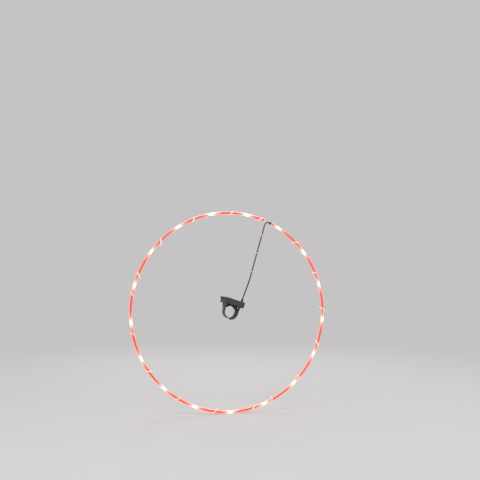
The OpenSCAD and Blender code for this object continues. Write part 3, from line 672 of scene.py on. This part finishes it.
class Growth(Nodes):
    """A geometry tree with its inputs named by kind. It ends in plain geometry with its material."""

    prefix = "GeometryNode"

    def __init__(self, name, **inputs):
        super().__init__(bpy.data.node_groups.new(name, "GeometryNodeTree"))
        face = self.tree.interface
        for kind, labels in {"Geometry": "Geometry", **inputs, "Material": "Material"}.items():
            for label in labels.split():
                face.new_socket(label, in_out="INPUT", socket_type="NodeSocket" + kind)
        face.new_socket("Geometry", in_out="OUTPUT", socket_type="NodeSocketGeometry")
        self.given = self.tree.nodes.new("NodeGroupInput").outputs

    def sweep(self, way, sides, caps=True):
        """Round wire or tube along a curve."""
        section = self.add("CurvePrimitiveCircle", {"Resolution": sides, "Radius": self.given["Radius"]})
        swept = self.add("CurveToMesh", {"Curve": way, "Profile Curve": section, "Fill Caps": caps})
        return self.add("SetShadeSmooth", {"Geometry": swept})

    def spread(self, shape):
        """A shape on each point of the starting mesh, turned as its point says."""
        turn = self.add("InputNamedAttribute", {"Name": "turn"}, "Attribute", data_type="FLOAT_VECTOR")
        return self.add("InstanceOnPoints", {"Points": self.given["Geometry"], "Instance": shape, "Rotation": turn})

    def close(self, made):
        real = self.add("RealizeInstances", {"Geometry": made})
        dressed = self.add("SetMaterial", {"Geometry": real, "Material": self.given["Material"]})
        self.put(self.tree.nodes.new("NodeGroupOutput").inputs[0], dressed)
        return self.tree


def ring_tube_tree():
    """A round tube along part of a ring in the xz plane."""
    tree = Growth("ring_tube", Float="Ring Start Sweep Radius", Int="Steps Sides")
    given = tree.given
    ring = tree.add("CurveArc", {"Resolution": given["Steps"], "Radius": given["Ring"],
                                 "Start Angle": given["Start"], "Sweep Angle": given["Sweep"]})
    upright = tree.add("Transform", {"Geometry": ring, "Rotation": (QUARTER, 0, 0)})
    return tree.close(tree.sweep(upright, given["Sides"], caps=False))


def wire_tree():
    """Round wire along the lines of the starting mesh, closed at its ends."""
    tree = Growth("wire", Float="Radius", Int="Sides")
    return tree.close(tree.sweep(tree.add("MeshToCurve", {"Mesh": tree.given["Geometry"]}), tree.given["Sides"]))


def set_out_tree():
    """A shape set out on the points of the starting mesh."""
    tree = Growth("set_out", Object="Shape")
    shape = tree.add("ObjectInfo", {"Object": tree.given["Shape"], "As Instance": True}, "Geometry")
    return tree.close(tree.spread(shape))


def coil_tree():
    """A coil of wire from its foot to its tip, on each point of the starting mesh."""
    tree = Growth("coil", Float="Turns Foot Tip Height Radius")
    given = tree.given
    coil = tree.add("CurveSpiral", {"Resolution": 28, "Rotations": given["Turns"], "Height": given["Height"],
                                    "Start Radius": given["Foot"], "End Radius": given["Tip"]})
    return tree.close(tree.spread(tree.sweep(coil, 10)))


RING_TUBE, WIRE, SET_OUT, COIL = ring_tube_tree(), wire_tree(), set_out_tree(), coil_tree()


def grow(tree, start=None, **values):
    """What a geometry tree makes of a starting mesh with these values."""
    return worked(start or bpy.data.meshes.new("start"), "NODES", values, node_group=tree)


def spots(places):
    """Points that carry the turn of whatever is set on them."""
    mesh = bpy.data.meshes.new("spots")
    mesh.from_pydata([m.translation for m in places], [], [])
    turns = mesh.attributes.new("turn", "FLOAT_VECTOR", "POINT")
    turns.data.foreach_set("vector", [c for m in places for c in m.to_euler("XYZ")])
    return mesh


def set_out(shape, places, material):
    pattern = stand("pattern", shape)
    mesh = grow(SET_OUT, spots(places), Shape=pattern, Material=material)
    bpy.data.objects.remove(pattern)
    return mesh


def wire(path, radius, sides, material):
    line = bpy.data.meshes.new("line")
    line.from_pydata(path, [(i, i + 1) for i in range(len(path) - 1)], [])
    return grow(WIRE, line, Radius=radius, Sides=sides, Material=material)


def dress(mesh, material):
    mesh.materials.clear()
    mesh.materials.append(material)


def piece(name, mesh, slot, *nodes, body="light", material=None, at=None):
    """A finished piece, brought to metres, that rides on its body and stands for its nodes."""
    if at:
        mesh.transform(at)
    mesh.transform(Matrix.Scale(MM, 4))
    mesh.name = name
    if material:
        dress(mesh, material)
    thing = stand(name, mesh)
    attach(thing, body)
    if nodes:
        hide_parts(*nodes)


# Camera, light and floor

BACKDROP = (0.56, 0.55, 0.55)


def studio():
    camera = stand("camera", bpy.data.cameras.new("camera"))
    camera.data.sensor_width = 36
    camera.data.lens = 61.5
    camera.location = (-0.569, -2.124, 0.0768)
    camera.rotation_euler = (radians(93), 0, radians(-15.72))
    scene.camera = camera

    for name, spot, size, power in (("key", (-1.7, -2.2, 2.3), 1.8, 72), ("fill", (2.3, -1.6, 1.1), 2.0, 32),
                                    ("back", (0.6, 2.3, 1.9), 1.8, 40)):
        lamp = stand(name, bpy.data.lights.new(name, "AREA"))
        lamp.data.size = size
        lamp.data.energy = power
        lamp.location = spot
        lamp.rotation_euler = (-Vector(spot)).to_track_quat("-Z", "Y").to_euler()

    scene.world = bpy.data.worlds.new("studio")
    scene.world.use_nodes = True
    sky = Shading(scene.world.node_tree)
    seen = sky.tree.nodes["Background"]
    sky.put(seen.inputs["Color"], BACKDROP)
    lit = sky.add("Background", {"Color": (1, 1, 1), "Strength": 0.45})
    direct, *bent = (sky.add("LightPath", out=f"Is {ray} Ray") for ray in ("Camera", "Glossy", "Transmission"))
    share = sky.sums("MAXIMUM", direct, sky.sums("MAXIMUM", *bent))
    sky.put(sky.tree.nodes["World Output"].inputs[0], sky.add("MixShader", (share, lit, seen.outputs[0])))

    bm = bmesh.new()
    bmesh.ops.create_circle(bm, cap_ends=True, segments=96, radius=14)
    floor = stand("floor", smooth(bm))
    floor.location.z = cad_box[0][2] - 0.0008
    look = Finish("floor", Roughness=0.85, Specular_IOR_Level=0.15)
    dress(floor.data, look.dress(Base_Color=look.mixed(look.grain(6, 4), (0.55, 0.54, 0.54), (0.58, 0.57, 0.57))))
    far = look.add("Emission", {"Color": BACKDROP})
    reach = look.length(*look.axes()[:2])
    fade = look.add("MapRange", {"Value": reach, "From Min": 0.5, "From Max": 3}, interpolation_type="SMOOTHSTEP")
    both = look.add("MixShader", (fade, look.shader.outputs[0], far))
    look.put(look.tree.nodes["Material Output"].inputs[0], both)


# The light string


def light_string():
    tube = grow(RING_TUBE, Ring=RING_R, Start=TUBE_FROM, Sweep=TUBE_TO - TUBE_FROM, Steps=320,
                Radius=TUBE_R, Sides=24, Material=VINYL)
    tube.materials.append(BORE)
    tube = worked(tube, "SOLIDIFY", thickness=TUBE_WALL, offset=-1, material_offset=1)
    piece("lit_tube", tube, "clear_tube", "light_tube")

    blunt, plump = 0.8, 0.82
    girth = [(BEAD_R * cos(a) ** blunt, BEAD_L / 2 * (sin(a) * plump + (1 - plump) * a / QUARTER))
             for a in np.linspace(-QUARTER, QUARTER, 15)]
    girth[0], girth[-1] = (0, -BEAD_L / 2), (0, BEAD_L / 2)
    lamps = [on_ring(LAMP_FROM + k * LAMP_PITCH) for k in range(LAMP_COUNT)]
    piece("lamp_beads", set_out(turned(girth, 20), lamps, RESIN), "lamp_resin", "led_lamps")

    # The wires stray a little, outward and to the side, some times in each radian
    stray_out, out_waves, stray_aside, aside_waves = 0.12, 97, 0.1, 61
    turns = np.linspace(TUBE_FROM + SPIGOT_L / RING_R, TUBE_TO - (SPIGOT_L - 1) / RING_R, 420)
    for name, side in (("string_wire_front", -1), ("string_wire_rear", 1)):
        path = []
        for a in turns:
            r = RING_R + stray_out * sin(out_waves * a + side)
            path.append((r * cos(a), side * WIRE_Y + stray_aside * sin(aside_waves * a), r * sin(a)))
        piece(name, wire(path, WIRE_R, 8, COPPER), "copper_wire", "string_wires")

    cap = [(0, SPIGOT_L), (SPIGOT_R - 0.4, SPIGOT_L), (SPIGOT_R, SPIGOT_L - 0.4), (SPIGOT_R, 0), (TUBE_R - 0.1, 0),
           (TUBE_R, -0.15), (TUBE_R, -0.8), (TUBE_R - 0.12, -0.9), (TUBE_R - 0.12, -1.1), (TUBE_R, -1.2)]
    cap += [(TUBE_R - 0.6 + 0.6 * cos(a), -1.4 - 0.6 * sin(a)) for a in np.linspace(0, QUARTER, 5)]
    cap += [(1.2, -CAP_T), (0.9, -CAP_T + 0.3), (0, -CAP_T + 0.35)]
    piece("end_cap", turned(cap, 40), "plug_plastic", "tube_plug", material=PLUG, at=on_ring(TUBE_FROM))

    bore = LEAD_R + GAP
    collar = [(bore, -SPIGOT_L), (SPIGOT_R, -SPIGOT_L), (SPIGOT_R, 0), (TUBE_R, 0)]
    for z in (0.5, 1.3, 2.1):
        collar += [(TUBE_R, z), (TUBE_R - 0.25, z + 0.12), (TUBE_R - 0.25, z + 0.38), (TUBE_R, z + 0.5)]
    collar += [(TUBE_R - 0.15, 2.9), (LEAD_R + 0.9, GLAND_L - 0.5), (LEAD_R + 0.6, GLAND_L - 0.1), (bore, GLAND_L)]
    piece("lead_collar", turned(collar, 40, closed=True), "black_rubber", "tube_gland", material=RUBBER,
          at=on_ring(TUBE_TO))


# Ties


def belt(a, r1, b, r2, h):
    """A band pulled tight round two ends of radius r1 at x = -a and a, and two of radius r2 at -b and b, h away."""
    lean = atan2(h, b - a) - acos((r1 - r2) / hypot(b - a, h))
    ends = (((a, 0), r1, -QUARTER, lean), ((b, h), r2, lean, QUARTER), ((-b, h), r2, QUARTER, pi - lean),
            ((-a, 0), r1, pi - lean, 3 * QUARTER))
    return [point for end in ends for point in arc(*end, 14)]


def tie_shape(a, r1, b, r2, h):
    """A tie's loop and head. The head lies on the flat below the loop, with its window on the outer face."""
    grow_by = TIE_SLACK + TIE_T / 2
    outline = belt(a, r1 + grow_by, b, r2 + grow_by, h)
    kept = [p for i, p in enumerate(outline) if dist(p, outline[i - 1]) > 1e-4]
    loop = band(kept, TIE_T, TIE_W, LOOP_EDGE, closed=True)
    top, cheek = -r1 - TIE_SLACK, TIE_W / 2 + 0.7 * TIE_T
    bm = block((-HEAD_L / 2, top - HEAD_H, -cheek), (HEAD_L / 2, top, cheek), HEAD_EDGE)
    outer = min(bm.faces, key=lambda f: f.calc_center_median().y)
    bmesh.ops.inset_region(bm, faces=[outer], thickness=WINDOW_RIM)
    pushed = bmesh.ops.extrude_face_region(bm, geom=[outer])["geom"]
    bmesh.ops.delete(bm, geom=[outer], context="FACES_ONLY")
    for vert in (v for v in pushed if isinstance(v, bmesh.types.BMVert)):
        vert.co.y += WINDOW_DEPTH
    return joined(loop, solid(bm))


def tail_shape(length, bend):
    """A tie's trimmed tail: a smooth back, two rails and a saw of teeth between them. It runs along -x and bends."""
    half, thick, inner = TIE_W / 2, TIE_T / 2, TIE_W / 2 - TAIL_RAIL
    outer = [(half - TAIL_EDGE, thick), (half, thick - TAIL_EDGE)]
    outer += [(z, -y) for z, y in outer[::-1]]
    outer += [(-z, y) for z, y in outer[::-1]]
    rows, at = [], Matrix.Identity(4)
    for _ in range(round((length + TAIL_IN_HEAD) / TAIL_STEP)):
        for x, root in ((0, TOOTH_FOOT), (TOOTH_DROP - TAIL_STEP, TOOTH_TIP)):
            section = outer + [(-inner, thick), (-inner, root), (inner, root), (inner, thick)]
            rows.append([at @ Vector((x, y, z)) for z, y in section])
        at = at @ shift(-TAIL_STEP, 0, 0) @ spin(bend, "Z")
    return skinned(rows)


def tail_root(r1):
    """Where the tail starts, inside the head of a tie round an end of radius r1."""
    return shift(TAIL_IN_HEAD - HEAD_L / 2, 1.1 * TIE_T - r1 - TIE_SLACK - HEAD_H, 0)


def ties():
    tube_half = TUBE_R * (1 / cos(TIE_SLANT) - 1) + TIE_W / 2 * tan(TIE_SLANT)
    spoke_half = SPOKE_R * (1 / sin(TIE_SLANT) - 1) + TIE_W / 2 / tan(TIE_SLANT)
    shape = tie_shape(tube_half, TUBE_R, spoke_half, SPOKE_R, TUBE_R + SPOKE_R)
    places, tails = [], []
    for i, (degrees, face) in enumerate(TIES.items()):
        tie = on_ring(TUBE_FROM + radians(degrees)) @ spin(TIE_SLANT, "Y")
        if face == FRONT:
            tie = tie @ spin(pi, "X")
        tail = tail_shape(TAIL_MIN + TAIL_SPREAD * (i * 3 % 5) / 4, -radians(0.4 + 0.5 * (i * 7 % 4)))
        tail.transform(tie @ tail_root(TUBE_R))
        places.append(tie)
        tails.append(tail)
    piece("tie_loops", set_out(shape, places, NYLON), "tie_nylon", "spoke_ties")
    piece("tie_tails", joined(*tails), "tie_nylon", "spoke_ties", material=NYLON)

    shape = tie_shape(0, LEAD_R, 0, SPOKE_R, LEAD_R + SPOKE_R)
    rise = LEAD_CORNER - LEAD_JOIN
    turn = spin(-asin(rise.normalized().y), "X") @ spin(QUARTER, "Z")
    places = [IN_PACK @ shift(*(LEAD_JOIN + rise * (i + 0.5) / (LEAD_TIES + 0.3))) @ turn for i in range(LEAD_TIES)]
    piece("lead_tie_loops", set_out(shape, places, NYLON), "tie_nylon", "lead_ties")
    tails = [tie @ tail_root(LEAD_R) for tie in places]
    piece("lead_tie_tails", set_out(tail_shape(TAIL_MIN, -radians(1)), tails, NYLON), "tie_nylon", "lead_ties")


# Lead


def lead():
    jacket = vinyl_jacket("lead_jacket", (0.02, 0.02, 0.022), (0.045, 0.045, 0.048))
    red = vinyl_jacket("red_jacket", (0.5, 0.02, 0.015), (0.62, 0.05, 0.04))
    black = vinyl_jacket("black_jacket", (0.015, 0.015, 0.017), (0.04, 0.04, 0.042))

    def strand(name, path, radius, sides, material, slot, node):
        piece(name, wire([IN_PACK @ Vector(p) for p in path], radius, sides, material), slot, node)

    path = rounded([LEAD_START, LEAD_OUT, LEAD_JOIN, LEAD_CORNER, LEAD_TIP], LEAD_BENDS, 20)
    strand("lead_jacket", path, LEAD_R, 20, jacket, "lead_jacket", "lead_cable")
    for name, side, material in (("lead_core_red", -1, red), ("lead_core_black", 1, black)):
        core = [(MID_X + side * WIRE_Y, LEAD_Y, BOARD_TOP + CORE_L * s) for s in np.linspace(0, 1, 6)]
        strand(name, core, WIRE_R, 12, material, "wire_jacket", "lead_wires")
    for name, side, material in (("battery_wire_black", -1, black), ("battery_wire_red", 1, red)):
        strip, board = (side * (ROOM_L / 2 - 0.82), FLOOR_Z + 1.1), (side * 18.5, BOARD_TOP + WIRE_R + GAP)
        corners = [(10.7, *strip), (13.2, *strip), (15.7, *board), (18.1, *board)]
        strand(name, rounded(corners, (1.2, 1.2), 8), WIRE_R, 12, material, "wire_jacket", "battery_wires")

    bore, rim, top = LEAD_R + GAP, FLANGE_R, TOP_Z + FLANGE_T
    boot = [(bore, LID_Z - FLANGE_T), (rim - 0.25, LID_Z - FLANGE_T), (rim, LID_Z - 1.2), (rim, LID_Z),
            (NECK_R, LID_Z), (NECK_R, TOP_Z), (rim, TOP_Z), (rim, TOP_Z + 1), (rim - 0.3, TOP_Z + 1.35),
            (BOOT_R + 0.05, top)]
    for i in range(5):
        z = top + 0.5 + 1.4 * i
        r = BOOT_R - (BOOT_R - LEAD_R - 0.6) * (z - top) / BOOT_L
        boot += [(r, z), (r - 0.55, z + 0.15), (r - 0.6, z + 0.5), (r - 0.12, z + 0.65)]
    boot += [(LEAD_R + 0.55, top + BOOT_L - 0.2), (LEAD_R + 0.35, top + BOOT_L), (bore, top + BOOT_L)]
    piece("lead_boot", turned(boot, 40, closed=True), "black_rubber", "lead_grommet", material=RUBBER,
          at=IN_PACK @ shift(MID_X, LEAD_Y, 0))


# Battery pack


def by_cell(y):
    """A place at each cell, y along it from the middle of the room. Every other cell is the other way round."""
    ways = [(x, 1 if i % 2 == 0 else -1) for i, x in enumerate(CELL_X)]
    return [IN_PACK @ shift(x, way * y, CELL_Z) @ spin(-way * QUARTER, "X") for x, way in ways]


def cells():
    """Each cell is turned with its flat end at the bottom: rolled rim, sleeve, crimp and button."""
    top = CELL_L - 1.0
    outline = [(0, 0.35), (3.4, 0.3), (3.8, 0.05), (4.6, 0.0), (5.0, 0.18), (CELL_R - 0.03, 0.6),
               (CELL_R - 0.03, 1.3), (CELL_R, 1.4), (CELL_R, 8), (CELL_R, 16), (CELL_R, 24), (CELL_R, 32),
               (CELL_R, top - 0.5), (5.1, top - 0.12), (4.7, top), (4.4, top - 0.12), (4.3, top - 0.4),
               (2.6, top - 0.45), (2.3, top - 0.3), (2.05, top), (1.9, top + 0.3), (1.9, CELL_L - 0.2),
               (1.75, CELL_L - 0.03), (1.55, CELL_L), (0, CELL_L)]
    places = by_cell(ROOM_L / 2 - PLATE_T - CELL_L)
    piece("cells", set_out(turned(outline, 40), places, cell_sleeve()), "cell_sleeve", "battery_cells")


def springs():
    feet = spots(by_cell(SPRING_WIRE + GAP + PLATE_T - ROOM_L / 2))
    mesh = grow(COIL, feet, Turns=4.5, Foot=3.3, Tip=2.6, Height=4.9, Radius=SPRING_WIRE, Material=STEEL)
    piece("cell_springs", mesh, "bright_steel", "contact_springs")


def screw_details():
    """Ridges round the head of the door's screw, and the thread on its shank."""
    ridge = solid(block((-0.25, -0.16, 0.1), (0.12, 0.16, 1.4), 0.09, 1))
    head = IN_PACK @ shift(SCREW_X, 0, SCREW_HEAD_Z)
    places = [head @ spin(FULL * k / RIDGES, "Z") @ shift(SCREW_HEAD_R, 0, 0) for k in range(RIDGES)]
    piece("screw_knurl", set_out(ridge, places, STEEL), "bright_steel", body="screw")
    foot = IN_PACK @ shift(SCREW_X, 0, SCREW_FOOT_Z + 0.25)
    mesh = grow(COIL, spots([foot]), Turns=5.5, Foot=1.42, Tip=1.46, Height=3.3, Radius=0.2, Material=STEEL)
    piece("screw_thread", mesh, "bright_steel", body="screw")


def mouldings():
    """The case, door, deck, button and screw, with rounded edges on whatever stands out of them."""
    out_of_case = [(lambda c: c.z < CASE_Z - 0.1, 0.5), (lambda c: c.x < -CASE_W / 2 - 0.1, 0.35),
                   (lambda c: abs(c.y) > CASE_L / 2 + 0.15, 0.15)]
    out_of_door = [(lambda c: c.z > TOP_Z + 0.08, 0.15), (lambda c: c.x < -CASE_W / 2 + 0.2, 0.3)]
    for name, node, body, slot, rims, material in (
            ("case_shell", "case_body", "light", "case_plastic", out_of_case, CASE),
            ("door_panel", "battery_door", "door", "case_plastic", out_of_door, CASE),
            ("deck_panel", "deck_cover", "light", "case_plastic", [(lambda c: c.z > TOP_Z - 0.12, 0.1)], CASE),
            ("button_cap", "power_button", "button", "button_rubber", [(lambda c: c.z > TOP_Z + 0.08, 0.3)], BUTTON),
            ("coin_screw", "door_screw", "screw", "bright_steel", [(lambda c: c.z > TOP_Z + 0.7, 0.15)], STEEL)):
        piece(name, eased(node, rims), slot, node, body=body, material=material, at=IN_PACK)


def seal():
    """The rubber cord in the groove under the door."""
    inset = SEAL_W / 2
    path = round_box([c + inset for c in SEAL_LOW], [c - inset for c in SEAL_HIGH], SEAL_CORNER - inset)
    piece("lid_seal", band(path, SEAL_W, SEAL_H, 0.3, closed=True), "black_rubber", "door_seal", body="door",
          material=RUBBER, at=IN_PACK @ shift(0, 0, SEAL_Z))


# Strap and saddle


def straight(x, start, end, count=8):
    return [(x, z) for z in np.linspace(start, end, count)]


def strap_path():
    """The middle line of the webbing: the sewn end, over one bar, round below, over the other, and the free end."""
    leg, back, over = HUB_R + STRAP_T / 2, BACK_X + STRAP_T / 2, FOLD_Z + STRAP_T / 2
    sewn = HUB_R + 1.5 * STRAP_T

    def fold(side):
        """The two corners where the webbing goes over a bar, from the outside in."""
        outside, inside = (0, pi) if side > 0 else (pi, 0)
        return (arc((side * (back - FOLD_R), over - FOLD_R), FOLD_R, outside, QUARTER, 5)
                + arc((side * (leg + FOLD_R), over - FOLD_R), FOLD_R, QUARTER, inside, 5))

    path = straight(-sewn, 0, BAR_Z - 4.6, 5)
    path += [(-sewn - 0.15, BAR_Z - 3.8), (-back + 0.2, BAR_Z - 0.3), (-back, BAR_Z + 0.5)] + fold(-1)
    path += straight(-leg, over - 2, 1) + arc((0, 0), leg, pi, FULL, 48) + straight(leg, 1, over - 2)
    path += fold(1)[::-1] + straight(back, over - 2, 1)
    return path + arc((0, 0), back, 0, -PATCH_TURN, 24)


def yarn_shape():
    """One float of a yarn: a rounded ridge along x that stands out along y and dips at both ends."""
    section = [(-0.49, -0.25), (-0.3, 0.72), (0, 1), (0.3, 0.72), (0.49, -0.25)]
    return skinned([[(x * YARN_L, YARN_LIFT * (h * r - 0.35 * (1 - r)), YARN_PITCH * w * (0.6 + 0.4 * r))
                     for w, h in section] for x, r in ((-0.49, 0.35), (-0.3, 0.95), (0.3, 0.95), (0.49, 0.35))], 80)


def laid(cloth, path):
    """A flat mesh, with x along it, y out of its face and z across it, bent to a path in the xy plane."""
    path, side, run = along(path)
    flat = np.zeros(3 * len(cloth.vertices))
    cloth.vertices.foreach_get("co", flat)
    u, n, v = flat.reshape(-1, 3).T
    u = np.clip(u, 0, run[-1])
    bent = [np.interp(u, run, path[:, k]) + n * np.interp(u, run, side[:, k]) for k in (0, 1)]
    cloth.vertices.foreach_set("co", np.stack([*bent, v], 1).ravel())
    corners = np.zeros(len(cloth.loops), int)
    cloth.loops.foreach_get("vertex_index", corners)
    cloth.uv_layers.new(name="UVMap").data.foreach_set("uv", np.stack([u, v], 1)[corners].ravel())
    return cloth


def weave(path):
    """Webbing with a herringbone of yarns on both faces of its core, laid along its path."""
    length = along(path)[2][-1]
    places = []
    for face in (0, pi):
        for row in range(int(STRAP_W / YARN_PITCH)):
            v = (row + 0.5) * YARN_PITCH - STRAP_W / 2
            start = (abs(v) / YARN_PITCH * TWILL_SHIFT % 1 + 0.3) * YARN_L
            places += [shift(u, cos(face) * (STRAP_T / 2 - GAP - YARN_LIFT), v) @ spin(face, "X")
                       for u in np.arange(start, length - 0.3 * YARN_L, YARN_L)]
    core = band(path, STRAP_T - 2 * YARN_LIFT, STRAP_W - 0.5, 0.35)
    return joined(core, laid(set_out(yarn_shape(), places, WEBBING), path), sharp=80)


def filament(spine):
    """A bent filament of square section along the points of its spine, in the xy plane."""
    path, side, _ = along(spine)
    corners = [(PILE_R, PILE_R), (-PILE_R, PILE_R), (-PILE_R, -PILE_R), (PILE_R, -PILE_R)]
    return skinned([[(*(p + s * a), b) for a, b in corners] for p, s in zip(path, side)], 80)


def patch(radius, face, spine, seed):
    """A patch of the strap's fastener: a thin base, and its hooks or loops in rows along its open edges."""
    path = straight(radius, BAR_Z - 0.4, 0.5, 6) + arc((0, 0), radius, 0, radians(4) - PATCH_TURN, 22)
    length, half = along(path)[2][-1], STRAP_W / 2 - 0.4
    loose = np.random.default_rng(seed)
    rows = [0.35 + PILE_PITCH * k for k in range(PILE_ROWS)]
    feet = [(u, side * (half - row)) for row in rows for side in (-1, 1) for u in np.arange(0.5, length, PILE_PITCH)]
    feet += [(length - row, v) for row in rows for v in np.arange(3 - half, half - 2.5, PILE_PITCH)]
    places, flip = [], 0 if face > 0 else pi
    for u, v in feet:
        turn, lean = loose.uniform(0, FULL), loose.uniform(-0.25, 0.25)
        places.append(shift(u, face * PATCH_BASE / 2, v) @ spin(turn, "Y") @ spin(lean + flip, "X"))
    pile = laid(set_out(filament(spine), places, PILE), path)
    return joined(band(path, PATCH_BASE, 2 * half, 0.2), pile, sharp=80)


def stitch_shape():
    """A short thread that dips into the cloth at both ends. It runs along x and stands out along y."""
    turns = np.linspace(0, FULL, 6, endpoint=False)
    return skinned([[(x, y + r * sin(a), r * cos(a)) for a in turns] for x, y, r in (
        (-1.2, -0.3, 0.12), (-0.9, 0.02, 0.24), (0, 0.14, 0.27), (0.9, 0.02, 0.24), (1.2, -0.3, 0.12))], 60)


def stitch_places():
    """A sewn box with a cross in it, on the outer face of the sewn end."""
    face = -(HUB_R + 2 * STRAP_T) - GAP
    low, high, half = 0.7, 5.3, 10.4
    a, b, c, d = (Vector((face, *p)) for p in ((-half, low), (half, low), (half, high), (-half, high)))
    out = Vector((-1, 0, 0))
    places = []
    for start, end in ((a, b), (d, c), (a, d), (b, c), (a, c), (d, b)):
        count = max(2, round((end - start).length / STITCH_PITCH))
        way = (end - start).normalized()
        turn = Matrix((way, out, way.cross(out))).transposed().to_4x4()
        places += [IN_PACK @ shift(*start.lerp(end, (i + 0.5) / count)) @ turn for i in range(count)]
    return places


def saddle():
    """The rubber saddle between the pack and the barrel that it is strapped to, ribbed for grip."""
    half, top, low, lip = PAD_HALF, CASE_Z, PAD_LIP_Z + 0.25, asin(PAD_LIP_Z / HUB_R)
    outline = [(-half, top - PAD_CHAMFER), (-half, low)]
    for i, (x, z) in enumerate(arc((0, 0), HUB_R, pi - lip, lip, 60)):
        reach = 1 if i % 4 < 2 else PAD_GROOVE
        outline.append((x * reach, z * reach))
    outline += [(half, low), (half, top - PAD_CHAMFER), (half - PAD_CHAMFER, top), (PAD_CHAMFER - half, top)]
    points = np.array(outline)
    pull = np.array([0, (top + HUB_R) / 2]) - points
    pull /= np.linalg.norm(pull, axis=1)[:, None]
    wide, narrow = STRAP_W / 2, STRAP_W / 2 - PAD_EDGE
    return skinned([[(x, y, z) for x, z in points + pull * inset]
                    for y, inset in ((-wide, PAD_EDGE), (-narrow, 0), (narrow, 0), (wide, PAD_EDGE))], 30)


def strap():
    piece("webbing", weave(strap_path()), "strap_web", "hub_strap", material=WEBBING, at=UPRIGHT)
    piece("box_stitch", set_out(stitch_shape(), stitch_places(), THREAD), "strap_web", "hub_strap")
    loop = [(-0.26, -0.1), (-0.28, 0.2), (-0.14, 0.48), (0.14, 0.48), (0.28, 0.2), (0.26, -0.1)]
    hook = [(0, -0.1), (0, 0.28), (0.08, 0.46), (0.22, 0.52), (0.34, 0.44), (0.34, 0.3)]
    inner, outer = HUB_R + STRAP_T + GAP + PATCH_BASE / 2, BACK_X - GAP - PATCH_BASE / 2
    for name, *shape in (("loop_patch", inner, -1, loop, 3), ("hook_patch", outer, 1, hook, 5)):
        piece(name, patch(*shape), "strap_loop", "strap_patch", material=PILE, at=UPRIGHT)
    piece("saddle", saddle(), "black_rubber", "hub_pad", material=RUBBER, at=IN_PACK)


# Everything in its place

studio()

VINYL, RESIN, CHIP, NYLON = lit_vinyl(), lit_resin(), lit_chip(), clear_nylon()
COPPER = drawn_metal("lacquered_copper", (0.72, 0.34, 0.22), (0.5, 0.18, 0.1), (0.15, 0.3), (900, 900, 900))
STEEL = drawn_metal("nickel_steel", (0.74, 0.74, 0.75), (0.56, 0.56, 0.58))
BRASS = drawn_metal("turned_brass", (0.8, 0.58, 0.24), (0.56, 0.36, 0.13))
PLUG = moulded("plug_plastic", (0.82, 0.81, 0.79), (0.9, 0.9, 0.88), 3000)
CASE = moulded("case_plastic", (0.03, 0.03, 0.032), (0.13, 0.13, 0.135))
SWITCH = moulded("switch_plastic", (0.05, 0.05, 0.055), (0.14, 0.14, 0.15), 2600)
CHIP_RESIN = moulded("chip_resin", (0.03, 0.03, 0.033), (0.09, 0.09, 0.095), 3400)
RUBBER = soft_rubber("black_rubber", (0.018, 0.018, 0.02), (0.06, 0.058, 0.056))
BUTTON = soft_rubber("button_rubber", (0.52, 0.028, 0.026), (0.62, 0.12, 0.1), 1800, 0.25)
WEBBING, PILE, THREAD = woven_webbing(), brushed_pile(), sewing_thread()
# Painted light: the pink of the bore stands in for the lamps' red light inside the clear tube.
BORE = grained("bore_vinyl", (380, 2), (1, 0.74, 0.68), (1, 0.86, 0.82), (0.02, 0.08), (0.02, 0.3),
               IOR=1.42, Transmission_Weight=0.96)
FIBRE = grained("pressed_fibre", ((700, 1500, 700), 4, 1.2), (0.36, 0.035, 0.025), (0.62, 0.12, 0.09),
                (0.6, 0.85), (0.06, 1), Specular_IOR_Level=0.3)
CERAMIC = grained("ceramic", (3000, 3), (0.42, 0.32, 0.2), (0.74, 0.64, 0.48), (0.35, 0.6), (0.04, 0.5),
                  Coat_Weight=0.2)

light_string()
ties()
lead()
cells()
springs()
screw_details()
mouldings()
seal()
strap()

# Nodes that keep their shape
KEPT = {
    "led_chips": CHIP, "cover_screws": STEEL, "hinge_pin": STEEL, "contact_plates": STEEL, "board_screws": STEEL,
    "screw_washer": FIBRE, "screw_insert": BRASS, "circuit_board": solder_mask(),
    "controller_chip": tinned(CHIP_RESIN, 8, 2.02), "chip_parts": tinned(CERAMIC, 2.6, 0.36),
    "tact_switch": SWITCH, "switch_plunger": SWITCH}
for node, material in KEPT.items():
    dress(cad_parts[node].data, material)

scene.view_settings.view_transform = "Standard"
